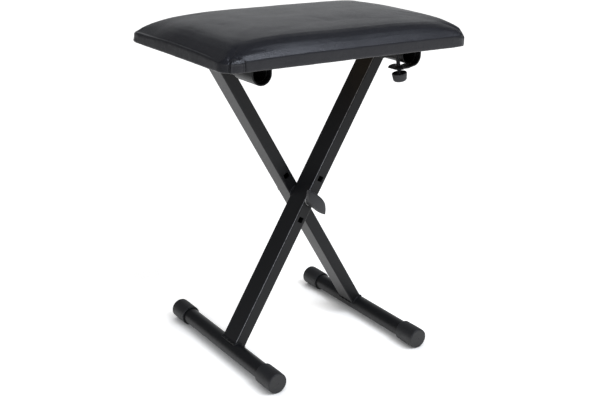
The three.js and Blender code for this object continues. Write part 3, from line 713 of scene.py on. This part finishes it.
def clamp(side, word):
    m = at(clamp_x(KNOB_BASE_Z), side * -CLAMP_Y, KNOB_BASE_Z, -CLAMP_LEAN, "Y")
    top = (CLAMP_TIP_Z - KNOB_BASE_Z) / math.cos(CLAMP_LEAN)
    z, prof, pitch = 9.0, [(0, 3.3), (CLAMP_R, 3.3), (CLAMP_R, 9.0)], 1.0
    while z < top - 1.2:
        z += pitch / 6
        prof.append((CLAMP_R, z))
    prof += [(CLAMP_R - 0.75, top - 0.1), (CLAMP_R - 0.9, top), (0, top)]
    rod = lathe(f"{word}_clamp_rod_thread", prof, 36, matrix=m, wave=lambda r, h, a: thread(r, h, a, pitch, 0.42, 9.5, top - 1.3))
    put(smooth(rod, 75, flat_weight=False), f"{word}_clamp_screw")
    out = [(0, 0), (8.3, 0), (10.0, 2.0), (11.1, 10.6), (11.1, 11.6), (10.6, KNOB_H + 0.7), (9.7, KNOB_H + 0.7), (9.2, 6.6), (5.2, 6.2), (5.2, 8.4), (CLAMP_R + 0.3, 8.4), (CLAMP_R + 0.3, 3.0), (0, 3.0)]
    prof = fillet(out, [0, 1.6, 1.2, 0.5, 0.3, 0.4, 0.4, 1.2, 0.6, 0.4, 0.2, 0, 0], 4)
    dense = []
    for (r0, h0), (r1, h1) in zip(prof, prof[1:]):
        steps = 8 if (r0 > 9.8 and r1 > 9.8 and abs(h1 - h0) > 4) else 1
        dense += [(r0 + (r1 - r0) * s / steps, h0 + (h1 - h0) * s / steps) for s in range(steps)]
    dense.append(prof[-1])

    def grip(r, h, a):
        if r < 9.85 or h < 1.6 or h > 11.4:
            return r
        fade = min(1.0, (h - 1.6) / 1.4, (11.4 - h) / 0.6)
        return r - 0.34 * fade * (0.5 - 0.5 * math.cos(28 * a)) ** 2

    knob = lathe(f"{word}_clamp_knob_grip", dense, 224, matrix=m, wave=grip)
    put(smooth(knob, 50, flat_weight=False), f"{word}_clamp_knob")


screws()
for side, word in ((-1, "near"), (1, "far")):
    saddle(f"{word}_pivot_strap", side)
    from_cad(f"{word}_pivot_plate", f"{word}_pivot_plate_sheet", 0.5)
    from_cad(f"{word}_hook_plate", f"{word}_hook_plate_sheet", 0.5)
    from_cad(f"{word}_hook_strap", f"{word}_hook_strap_band", 0.4)
    clamp(side, word)


# ------------------------------------------------------------ the padded top
HX, HY = SEAT_L / 2, SEAT_D / 2
HXR, HYR, QUARTER = HX - SEAT_CORNER, HY - SEAT_CORNER, SEAT_CORNER * math.pi / 2
FINE, COARSE, FINE_BAND = 1.1, 5.2, 31.0          # mesh steps near the edge and in the middle, mm


def grid_line(half):
    """Positions across the seat: fine steps near both ends, coarse ones between."""
    k = round(FINE_BAND / FINE)
    m = round(2 * (half - FINE_BAND) / COARSE)
    inner = half - FINE_BAND
    return [-half + i * FINE for i in range(k)] + [-inner + 2 * inner * i / m for i in range(m)] + [inner + i * FINE for i in range(k + 1)]


def corner_map(x, y):
    """Moves a point of the full rectangle into the one with rounded corners."""
    ax, ay = abs(x) - HXR, abs(y) - HYR
    if ax <= 0 or ay <= 0:
        return x, y
    a, b = ax / SEAT_CORNER, ay / SEAT_CORNER
    mx, my = a * math.sqrt(1 - b * b / 2), b * math.sqrt(1 - a * a / 2)
    return math.copysign(HXR + mx * SEAT_CORNER, x), math.copysign(HYR + my * SEAT_CORNER, y)


def edge_distance(x, y):
    """Distance in from the seat's rounded outline, mm."""
    ax, ay = abs(x) - HXR, abs(y) - HYR
    if ax > 0 and ay > 0:
        return SEAT_CORNER - math.hypot(ax, ay)
    return min(HX - abs(x), HY - abs(y))


def ring_point(x, y, inset):
    """The outline point (x, y) moved in by inset, on an outline that keeps rounded corners."""
    r = max(SEAT_CORNER - inset, 7.0)
    cx, cy = HX - inset - r, HY - inset - r
    ax, ay = abs(x) - HXR, abs(y) - HYR
    if ax > 1e-6 and ay > 1e-6:
        a = math.atan2(ay, ax)
        return math.copysign(cx + r * math.cos(a), x), math.copysign(cy + r * math.sin(a), y)
    if HX - abs(x) < HY - abs(y):
        return math.copysign(HX - inset, x), y * cy / HYR
    return x * cx / HXR, math.copysign(HY - inset, y)


def outline_position(x, y):
    """Position along the outline, mm, from the middle of the front side; positive towards +X."""
    ax, ay = abs(x) - HXR, abs(y) - HYR
    if ax > 0 and ay > 0:
        a = math.atan2(ay, ax)
        s = HXR + (math.pi / 2 - a) * SEAT_CORNER if y < 0 else HXR + QUARTER + 2 * HYR + a * SEAT_CORNER
    elif HX - abs(x) < HY - abs(y):
        s = HXR + QUARTER + (y + HYR)
    elif y < 0:
        s = abs(x)
    else:
        s = HXR + 2 * QUARTER + 2 * HYR + (HXR - abs(x))
    return math.copysign(s, x)


# height of the pad over distance in from its edge, mm; each side's distance is scaled by its own factor
RISE_D = (-20, 0, 3, 8, 15, 25, 38, 55, 80, 120, 400)
RISE_Z = (461.0, 480.5, 483.5, 488.3, 494.8, 501.9, 506.9, 510.3, 513.6, 514.8, 514.8)
LEFT_PACE, RIGHT_PACE, BACK_PACE, FRONT_PACE, CORNER_NORM = 0.60, 1.20, 1.18, 1.00, 2.35
# the front bulges: its skirt runs up higher and turns over in a soft shoulder
FULL_D = (-20, 0, 1.5, 3.5, 7.5, 13, 21, 28, 38, 55, 80, 120, 400)
FULL_Z = (483.2, 483.4, 485.6, 488.0, 492.4, 497.6, 503.1, 506.3, 509.0, 511.5, 513.7, 514.8, 514.8)
_d = np.arange(-20, 300, 0.5)
_z = np.interp(_d, RISE_D, RISE_Z)
for _width in (11, 15):
    _z = np.convolve(np.pad(_z, _width // 2, mode="edge"), np.ones(_width) / _width, mode="valid")
_f = np.interp(_d, FULL_D, FULL_Z)
for _width in (3, 5):
    _f = np.convolve(np.pad(_f, _width // 2, mode="edge"), np.ones(_width) / _width, mode="valid")


def soft(t):
    t = max(0.0, min(1.0, t))
    return t * t * (3 - 2 * t)


def fullness(x, y):
    """How far the profile at (x, y) is the full one: the front most, then the right and the near part of the left, the back not."""
    front, back, left, right = HY + y, HY - y, HX + x, HX - x
    side = min(left, right)
    ahead = soft(1.25 - 2.2 * front / (front + side + 1e-6)) * soft(2.0 - 3.0 * front / (front + back))
    on_right = 0.85 * soft(1.6 - 2.2 * right / (right + min(front, back) + 1e-6)) * soft(3.0 - 6.0 * right / (right + left)) * (1 - 0.9 * soft((y - 15) / 85))
    on_left = 0.80 * soft(1.6 - 2.2 * left / (left + min(front, back) + 1e-6)) * soft(3.0 - 6.0 * left / (right + left)) * (1 - soft((y - 10) / 95))
    return max(ahead, on_right, on_left)


def pad_height(x, y):
    d = max(0.0, edge_distance(x, y))
    slow = soft((y - 10) / 95)                   # the left side rises more slowly towards its far corner
    a = max(0.01, min((HX + x) * (0.80 + (LEFT_PACE - 0.80) * slow), (HX - x) * RIGHT_PACE))
    b = max(0.01, min((HY - y) * BACK_PACE, (HY + y) * FRONT_PACE))
    g = (a ** -CORNER_NORM + b ** -CORNER_NORM) ** (-1 / CORNER_NORM)
    if d < 22:
        g = min(g, d * 1.25)
    full = fullness(x, y)
    z = float(np.interp(g, _d, _z))
    if full > 0:
        z += full * (float(np.interp(min(d, g * 1.1), _d, _f)) - float(np.interp(min(d, g * 1.1), _d, _z)))
    # the far left corner is drawn down hardest
    c = math.hypot(x + HX - 6, y - HY + 6)
    near = math.hypot(HX + x - 4, HY + y - 4)
    fold = 483.6 + 1.9 * soft((HY + y) / 60) * (1 - slow) * soft(1.5 - (HX + x) / 10) - 0.4 * math.exp(-(near / 20) ** 2)
    z = max(z, fold - 3.0 * max(0.0, 1 - d / 1.6) ** 2)
    # the near left one folds over lower than the sides
    return z - 1.9 * math.exp(-(c / 16) ** 2) - 2.7 * math.exp(-(near / 70) ** 2) * soft(1.15 - d / 26)


SKIRT = [(-0.10, 479.2), (-0.10, 477.6), (-0.12, 476.2), (-0.1, 474.8), (-0.1, 473.2), (-0.1, 471.2), (-0.08, 469.5), (0.15, 468.3), (0.9, 467.6), (2.6, 467.45)]
UNDER = [(7, 467.8), (13, 468.4), (20, 468.9), (27, 469.1), (33.2, 469.15), (34.0, 469.5), (33.2, 469.93), (20, 470.0), (6, 470.0), (2.0, 470.05),
         (1.5, 471.0), (1.4, 476.5), (1.45, 480.4), (2.05, 482.38), (4.0, 482.62)]


def pad_skin():
    xs, ys = grid_line(HX), grid_line(HY)
    nx, ny = len(xs), len(ys)
    verts, faces = [], []
    for y in ys:
        for x in xs:
            px, py = corner_map(x, y)
            verts.append([px, py, pad_height(px, py)])
    at_ = lambda i, j: j * nx + i
    for j in range(ny - 1):
        for i in range(nx - 1):
            faces.append((at_(i, j), at_(i + 1, j), at_(i + 1, j + 1), at_(i, j + 1)))
    loop = [at_(i, 0) for i in range(nx - 1)] + [at_(nx - 1, j) for j in range(ny - 1)] + [at_(i, ny - 1) for i in range(nx - 1, 0, -1)] + [at_(0, j) for j in range(ny - 1, 0, -1)]
    top = len(verts)
    prev, n = loop, len(loop)
    for j, (inset, z) in enumerate(SKIRT + UNDER):
        row = list(range(len(verts), len(verts) + n))
        for k in loop:
            px, py = ring_point(verts[k][0], verts[k][1], inset)
            # the outer rows spread evenly up to the pad's edge, which is higher at the front
            reach = (verts[k][2] - 469.5) / (480.6 - 469.5) if j < len(SKIRT) and z > 469.5 else 1.0
            verts.append([px, py, 469.5 + (z - 469.5) * reach])
        for k in range(n):
            faces.append((prev[k], prev[(k + 1) % n], row[(k + 1) % n], row[k]))
        prev = row
    return np.array(verts, float), faces, top, n


def pressed(verts, faces, top, loop_n, cap):
    """The top skin as cloth over its pinned edge under a light pressure; no point moves more than cap mm."""
    last = top + 3 * loop_n
    keep = [f for f in faces if max(f) < last]
    me = bpy.data.meshes.new("pad_cloth")
    me.from_pydata([tuple(v * MM) for v in verts[:last]], [], keep)
    obj = bpy.data.objects.new("pad_cloth", me)
    bpy.context.scene.collection.objects.link(obj)
    pin = obj.vertex_groups.new(name="pin")
    for i in range(last):
        d = edge_distance(verts[i][0], verts[i][1])
        w = 1.0 if i >= top or d < 2.5 else max(0.0, 1.0 - (d - 2.5) / 6.0)
        if w > 0:
            pin.add([i], w, "REPLACE")
    mod = obj.modifiers.new("cloth", "CLOTH")
    s = mod.settings
    s.quality, s.mass = 5, 0.3
    s.tension_stiffness = s.compression_stiffness = 30
    s.shear_stiffness, s.bending_stiffness = 12, 0.8
    s.tension_damping = s.compression_damping = 15
    s.use_pressure, s.uniform_pressure_force = True, 4.0
    s.vertex_group_mass = "pin"
    s.effector_weights.gravity = 0
    s.shrink_min = 0.004
    mod.collision_settings.use_collision = False
    mod.collision_settings.use_self_collision = False
    scene = bpy.context.scene
    start = scene.frame_current
    for f in range(1, 21):
        scene.frame_set(f)
    me2 = evaluated(obj)
    co = np.array([tuple(v.co) for v in me2.vertices], float) / MM
    scene.frame_set(start)
    bpy.data.objects.remove(obj)
    bpy.data.meshes.remove(me)
    bpy.data.meshes.remove(me2)
    move = co - verts[:last]
    move[top:] = 0
    size = np.linalg.norm(move, axis=1)
    print("pad moved, mm: median %.2f largest %.2f" % (float(np.median(size[:top])), float(size.max())))
    move *= np.where(size > cap, cap / np.maximum(size, 1e-9), 1.0)[:, None]
    inward = np.array([edge_distance(v[0], v[1]) for v in verts[:last]])
    t = np.clip(inward / 45.0, 0, 1)
    share = t * t * (3 - 2 * t)
    share[top:] = 0
    nx = len(grid_line(HX))
    wide = move[:top].reshape(-1, nx, 3)
    for axis in (0, 1, 0, 1):
        pads = [(0, 0)] * 3
        pads[axis] = (10, 10)
        run = np.cumsum(np.pad(wide, pads, mode="edge"), axis=axis)
        a, b = [slice(None)] * 3, [slice(None)] * 3
        a[axis], b[axis] = slice(20, None), slice(0, -20)
        step = run[tuple(a)] - run[tuple(b)]
        wide = step / 20
    move[:top] -= wide.reshape(-1, 3)
    move *= 0.45 * share[:, None]
    print("folds kept, mm: largest %.2f" % float(np.abs(move[:top]).max()))
    out = verts.copy()
    out[:last] += move
    return out


TUCKS = []
for _s, _lean, _depth in ((-(HXR - 7.0), -1, 1.5), (-(HXR + (270 - 232) * RAD * SEAT_CORNER), 1, 1.3), (HXR + 13.0, -1, 0.9), (HXR + 27.0, 1, 0.9),
                          (HXR + QUARTER + 2 * HYR + 9.0, 1, 0.9), (HXR + QUARTER + 2 * HYR + 24.0, 1, 0.9),
                          (-(HXR + QUARTER + 2 * HYR + 9.0), -1, 0.9), (-(HXR + QUARTER + 2 * HYR + 24.0), -1, 0.9)):
    TUCKS.append((_s, _lean, _depth))


def tuck(s, z):
    """Outward shift of the skirt, mm: a sharp fold line with a raised lip beside it."""
    total = 0.0
    for p, lean, depth in TUCKS:
        d = s - p - (z - 476) * 0.06 * lean
        if abs(d) > 16:
            continue
        valley = -2.1 * math.exp(-abs(d / 0.85) ** 1.5)
        lip = 0.95 * math.exp(-(((d - lean * 2.1) / 1.4) ** 2))
        broad = 0.35 * math.exp(-(((d - lean * 6.5) / 4.0) ** 2))
        total += depth * (valley + lip + broad)
    return total


def gather(s, d):
    """Small ridges that fan out from the corners up over the slope, mm."""
    total = 0.0
    for c in (-1, 1):
        for mid in (HXR + QUARTER / 2, HXR + QUARTER * 1.5 + 2 * HYR):
            w = math.exp(-(((s - c * mid) / 30.0) ** 2))
            if w > 0.02:
                total += w * math.sin(s / 5.2 * 2 * math.pi + 0.08 * d)
    return total


def make_seat():
    verts, faces, top, loop_n = pad_skin()
    verts = pressed(verts, faces, top, loop_n, 3.0)
    obj = build("seat_cushion", [tuple(v) for v in verts], faces)
    mark = obj.data.attributes.new("skin", "FLOAT", "POINT")
    shown = top + loop_n * (len(SKIRT) + 5)
    mark.data.foreach_set("value", [1.0 if i < shown else 0.0 for i in range(len(verts))])
    mod = obj.modifiers.new("fine", "SUBSURF")
    mod.levels = mod.render_levels = 1
    bake_modifiers(obj)
    me = obj.data
    skin = np.zeros(len(me.vertices), dtype=np.float32)
    me.attributes["skin"].data.foreach_get("value", skin)
    me.attributes.remove(me.attributes["skin"])
    for v in me.vertices:
        if skin[v.index] < 0.6:
            continue
        x, y, z = v.co.x / MM, v.co.y / MM, v.co.z / MM
        d, s = edge_distance(x, y), outline_position(x, y)
        nx_, ny_ = outline_normal(x, y)
        side = abs(s)
        # between its corners each side is drawn in a little
        if side < HXR:
            pull = 1 - (side / HXR) ** 2
        elif side < HXR + QUARTER + 2 * HYR and side > HXR + QUARTER:
            pull = 1 - ((side - HXR - QUARTER - HYR) / HYR) ** 2
        elif side > HXR + 2 * QUARTER + 2 * HYR:
            pull = 1 - ((side - 2 * HXR - 2 * QUARTER - 2 * HYR) / HXR) ** 2
        else:
            pull = 0.0
        shift = rise = 0.0
        above, below = z > 478.2, z < 469.2 and d > 1.2
        fade = max(0.0, 1 - d / 14) if above else max(0.0, 1 - d / 10) if below else 1.0
        if fade > 0:
            shift -= 0.8 * pull * fade
            if not below:
                shift += fade * (0.30 * noise.noise(Vector((s * 0.03, 0.2, z * 0.03))) + 0.14 * noise.noise(Vector((s * 0.12, 4.2, z * 0.08))))
            shift += tuck(s, z) * 0.9 * (max(0.0, min(1.0, (482.6 - z) / 3.0)) if above else fade)
            if z < 470.5:
                rise += (-0.10 + 0.38 * noise.noise(Vector((s * 0.045, 7.7, 0.2))) + 0.16 * noise.noise(Vector((s * 0.16, 1.7, 0.9)))) * max(0.0, 1 - d / 16)
        # the gathered vinyl stands up as a small roll where the corner folds over
        roll = math.exp(-((side - HXR - 8.0) / 13.0) ** 4) if y < 0 else 0.6 * math.exp(-((side - HXR - QUARTER - 2 * HYR - 26.0) / 13.0) ** 4)
        roll *= 1.0 if x < 0 else 0.25
        if x < 0 < y:                                 # the far left corner is pulled in a little
            shift -= 1.3 * math.exp(-((side - HXR - QUARTER * 1.5 - 2 * HYR) / 16.0) ** 2) * soft((z - 470.5) / 5.0) * max(0.0, 1 - d / 12)
        if x > 0 > y and above:                       # the near right one turns over softly
            shift -= 1.6 * math.exp(-((side - HXR - QUARTER * 0.6) / 15.0) ** 2) * soft((z - 478.5) / 5.0) * max(0.0, 1 - d / 10)
        if above and roll > 0.01:
            shift += 1.0 * roll * math.exp(-((z - (478.6 if x < 0 > y else 480.3)) / 1.8) ** 2)
            rise += 1.0 * roll * math.exp(-((d - 1.4) / 1.5) ** 2) - 0.9 * roll * math.exp(-((d - 5.5) / 2.2) ** 2)
        if above and x < 0 > y and side < HXR:
            # beside the near left corner the front turns over more tightly
            rise += 1.0 * math.exp(-((HXR - side - 22) / 30.0) ** 2) * math.exp(-((d - 4.6) / 3.8) ** 2)
        if above and d > 0.3:
            w = min(1.0, d / 10)
            rise += w * (0.8 * noise.noise(Vector((x * 0.011, y * 0.011, 0.4))) + 0.22 * noise.noise(Vector((x * 0.045, y * 0.045, 2.0))))
            rise += 0.16 * gather(s, d) * min(1.0, d / 5) * math.exp(-((d - 6) / 17) ** 2)
            rise += -0.55 * math.exp(-((d - 2.6) / 1.1) ** 2) * crease(s)
        v.co.x += nx_ * shift * MM
        v.co.y += ny_ * shift * MM
        v.co.z += rise * MM
    bm = bmesh.new()
    bm.from_mesh(me)
    rim = [e for e in bm.edges if e.is_boundary]
    bmesh.ops.contextual_create(bm, geom=rim)
    bmesh.ops.recalc_face_normals(bm, faces=bm.faces)
    bm.to_mesh(me)
    bm.free()
    for p in me.polygons:
        p.use_smooth = True
    put(obj, "seat_cover", VINYL, "seat_foam")
    return obj


def crease(s):
    """A shallow fold line along the left side, just over the skirt."""
    a = -s - HXR - QUARTER
    return max(0.0, min(1.0, (a - 6) / 25)) * max(0.0, min(1.0, (2 * HYR - 4 - a) / 40)) * (0.75 + 0.25 * noise.noise(Vector((s * 0.04, 0, 3.0))))


def outline_normal(x, y):
    ax, ay = abs(x) - HXR, abs(y) - HYR
    if ax > 0 and ay > 0:
        l = math.hypot(ax, ay) or 1.0
        return math.copysign(ax / l, x), math.copysign(ay / l, y)
    if HX - abs(x) < HY - abs(y):
        return math.copysign(1.0, x), 0.0
    return 0.0, math.copysign(1.0, y)


SEAT = make_seat()


def board():
    """The plywood board, its rim rounded over so that the vinyl folds round it softly."""
    rim, c = 2.9, 20.0
    rows = [(rim + 2.2, 470.3), (rim + 0.6, 470.9), (rim, 472.2), (rim, 479.6), (rim + 0.5, 481.0), (rim + 1.5, 481.95), (rim + 3.2, 482.3)]
    verts, faces, n = [], [], 0
    for inset, z in rows:
        ring = round_rect(SEAT_L - 2 * inset, SEAT_D - 2 * inset, c, 10)
        n = len(ring)
        verts += [(x, y, z) for x, y in ring]
    for j in range(len(rows) - 1):
        faces += [(j * n + i, j * n + (i + 1) % n, (j + 1) * n + (i + 1) % n, (j + 1) * n + i) for i in range(n)]
    faces += [tuple(range(n))[::-1], tuple(range((len(rows) - 1) * n, len(rows) * n))]
    put(smooth(build("seat_board_sheet", verts, faces), 40), "seat_board")


board()


def staples():
    """Wire staples round the hem, standing a little proud of the folded vinyl."""
    verts, faces = [], []

    def wire(p, q, r=0.32, k=6):
        p, q = Vector(p), Vector(q)
        t = (q - p).normalized()
        u = t.orthogonal().normalized()
        v = t.cross(u)
        b = len(verts)
        for c in (p, q):
            for j in range(k):
                a = 2 * math.pi * j / k
                verts.append(tuple(c + u * r * math.cos(a) + v * r * math.sin(a)))
        for j in range(k):
            faces.append((b + j, b + (j + 1) % k, b + k + (j + 1) % k, b + k + j))
        faces.extend([tuple(range(b, b + k)), tuple(range(b + k, b + 2 * k))[::-1]])

    def one(x, y, turn):
        c, s = math.cos(turn), math.sin(turn)
        a, b = (x - 4.6 * c, y - 4.6 * s), (x + 4.6 * c, y + 4.6 * s)
        z = 468.85
        wire((*a, z), (*b, z))
        wire((*a, z - 0.1), (*a, z + 0.8))
        wire((*b, z - 0.1), (*b, z + 0.8))

    state = 7
    spots = []
    for i in range(-9, 10):
        for side in (-1, 1):
            spots.append((i * 18.5, side * (SEAT_D / 2 - 26), 0.0))
    for i in range(-5, 6):
        for side in (-1, 1):
            spots.append((side * (SEAT_L / 2 - 26), i * 18.5, math.pi / 2))
    for x, y, turn in spots:
        state = (state * 1103515245 + 12345) % 2147483648
        j = state / 2147483648 - 0.5
        # the brackets cover the hem nowhere, so every staple stays
        one(x + j * 3, y + j * 2.4, turn + j * 0.35)
    obj = build("hem_staples", verts, faces)
    smooth(obj, 60, flat_weight=False)
    extra(obj, "seat_cover", ZINC)


staples()


# ------------------------------------------------------------ floor and light
def stage():
    me = bpy.data.meshes.new("floor")
    me.from_pydata([(-14, -14, 0), (14, -14, 0), (14, 14, 0), (-14, 14, 0)], [], [(0, 1, 2, 3)])
    floor = bpy.data.objects.new("floor", me)
    bpy.context.scene.collection.objects.link(floor)
    m = Mat("floor_white", Roughness=0.8)
    m.bsdf.inputs["Base Color"].default_value = (0.86, 0.835, 0.775, 1)
    m.bsdf.inputs["Specular IOR Level"].default_value = 0.1
    # painted light: the floor glows through its emission, brighter far off and in a fan ahead of the camera, dimmer
    # close to the camera
    m.bsdf.inputs["Emission Color"].default_value = (1, 1, 1, 1)
    away = m.node("ShaderNodeVectorMath", {"operation": "DOT_PRODUCT"})
    m.t.links.new(m.coord.outputs["Object"], away.inputs[0])
    away.inputs[1].default_value = (0.56, 0.829, 0.0)
    glow = m.node("ShaderNodeMapRange", {"interpolation_type": "SMOOTHSTEP"})
    m.t.links.new(away.outputs["Value"], glow.inputs["Value"])
    for k, v in (("From Min", 0.5), ("From Max", 3.0), ("To Min", FLOOR_GLOW), ("To Max", FLOOR_FAR)):
        glow.inputs[k].default_value = v
    # the painted glow is a fan that fades out towards the far left
    side = m.node("ShaderNodeVectorMath", {"operation": "DOT_PRODUCT"})
    m.t.links.new(m.coord.outputs["Object"], side.inputs[0])
    side.inputs[1].default_value = (-0.828, 0.56, 0.0)
    ratio = m.math("DIVIDE", m.math("ADD", side.outputs["Value"], 0.004), m.math("MAXIMUM", m.math("ADD", away.outputs["Value"], 1.438), 0.6))
    fan = m.node("ShaderNodeMapRange", {"interpolation_type": "SMOOTHSTEP"}, Value=ratio)
    for k, v in (("From Min", 0.36), ("From Max", 0.75), ("To Min", 1.0), ("To Max", 0.12)):
        fan.inputs[k].default_value = v
    front = m.node("ShaderNodeMapRange", {"interpolation_type": "SMOOTHSTEP"}, Value=away.outputs["Value"])
    for k, v in (("From Min", -1.2), ("From Max", -0.35), ("To Min", 0.6), ("To Max", 1.0)):
        front.inputs[k].default_value = v
    # painted contact shadow: ambient occlusion darkens the floor's glow close to the caps and other parts near it
    near = m.node("ShaderNodeAmbientOcclusion", {"samples": 8, "only_local": False}, Distance=0.045)
    shut = m.math("POWER", near.outputs["AO"], 1.6)
    lit = m.math("MULTIPLY", m.math("MULTIPLY", glow.outputs["Result"], fan.outputs["Result"]), front.outputs["Result"])
    m.t.links.new(m.math("MULTIPLY", lit, shut), m.bsdf.inputs["Emission Strength"])
    me.materials.append(m.m)


def area(name, where, look, size, radiance):
    light = bpy.data.lights.new(name, "AREA")
    light.shape, light.size, light.size_y = "RECTANGLE", size[0], size[1]
    light.energy = radiance * math.pi * size[0] * size[1]
    o = bpy.data.objects.new(name, light)
    bpy.context.scene.collection.objects.link(o)
    o.location = where
    o.rotation_mode = "QUATERNION"
    o.rotation_quaternion = (Vector(look) - Vector(where)).to_track_quat("-Z", "Y")
    return o


def lobe(t, coord, axis, inner, outer, amount):
    """A soft round patch of light in the surroundings: full inside `inner` degrees, none past `outer`."""
    dot = t.nodes.new("ShaderNodeVectorMath")
    dot.operation = "DOT_PRODUCT"
    t.links.new(coord, dot.inputs[0])
    dot.inputs[1].default_value = Vector(axis).normalized()
    r = t.nodes.new("ShaderNodeMapRange")
    r.interpolation_type = "SMOOTHSTEP"
    t.links.new(dot.outputs["Value"], r.inputs["Value"])
    r.inputs["From Min"].default_value = math.cos(outer * RAD)
    r.inputs["From Max"].default_value = math.cos(inner * RAD)
    r.inputs["To Min"].default_value = 0.0
    r.inputs["To Max"].default_value = amount
    return r.outputs["Result"]


FLOOR_GLOW, FLOOR_FAR = 0.84, 1.0
SOFTBOXES = (("high_right", (0.90, -1.50, 2.75), (1.2, 1.0), 11.0), ("left", (-2.3, -1.45, 1.62), (2.0, 0.42), 7.6),
             ("front_high", (0.0, -2.4, 3.4), (1.5, 1.0), 6.5))
WORLD_BASE, WORLD_SIDE, WORLD_BACK, WORLD_LOW = 0.03, 0.16, 0.63, 0.45


def lights():
    for name, where, size, radiance in SOFTBOXES:
        box = area(name, where, (0, 0, 0.3), size, radiance)
        box.data.color = (0.91, 0.97, 1.11)
        box.visible_camera = False
    w = bpy.data.worlds.new("studio")
    bpy.context.scene.world = w
    w.use_nodes = True
    t = w.node_tree
    bg = next(n for n in t.nodes if n.type == "BACKGROUND")
    bg.inputs["Color"].default_value = (0.97, 0.985, 1.0, 1)
    coord = t.nodes.new("ShaderNodeTexCoord").outputs["Generated"]
    total = None
    for axis, inner, outer, amount in (((0.60, 0.72, 0.34), 8, 32, WORLD_BACK), ((-0.25, 0.78, 0.50), 10, 46, WORLD_SIDE)):
        v = lobe(t, coord, axis, inner, outer, amount)
        n = t.nodes.new("ShaderNodeMath")
        n.operation = "ADD"
        t.links.new(v, n.inputs[0])
        if total is None:
            n.inputs[1].default_value = WORLD_BASE
        else:
            t.links.new(total, n.inputs[1])
        total = n.outputs[0]
    # a pale band round the studio, level with the floor
    split = t.nodes.new("ShaderNodeSeparateXYZ")
    t.links.new(coord, split.inputs[0])
    band = t.nodes.new("ShaderNodeMapRange")
    band.interpolation_type = "SMOOTHSTEP"
    t.links.new(split.outputs["Z"], band.inputs["Value"])
    for k, v in (("From Min", 0.10), ("From Max", 0.26), ("To Min", WORLD_LOW), ("To Max", 0.0)):
        band.inputs[k].default_value = v
    turn = t.nodes.new("ShaderNodeMapRange")
    turn.interpolation_type = "SMOOTHSTEP"
    t.links.new(split.outputs["X"], turn.inputs["Value"])
    for k, v in (("From Min", -0.6), ("From Max", 0.2), ("To Min", 0.12), ("To Max", 1.0)):
        turn.inputs[k].default_value = v
    level = t.nodes.new("ShaderNodeMath")
    level.operation = "MULTIPLY"
    t.links.new(band.outputs["Result"], level.inputs[0])
    t.links.new(turn.outputs["Result"], level.inputs[1])
    n = t.nodes.new("ShaderNodeMath")
    n.operation = "MAXIMUM"
    t.links.new(total, n.inputs[0])
    t.links.new(level.outputs[0], n.inputs[1])
    t.links.new(n.outputs[0], bg.inputs["Strength"])
    sc = bpy.context.scene
    sc.view_settings.view_transform = "Standard"
    sc.view_settings.look = "None"
    sc.view_settings.exposure, sc.view_settings.gamma = 0.0, 1.0


stage()
lights()

bpy.context.view_layer.update()
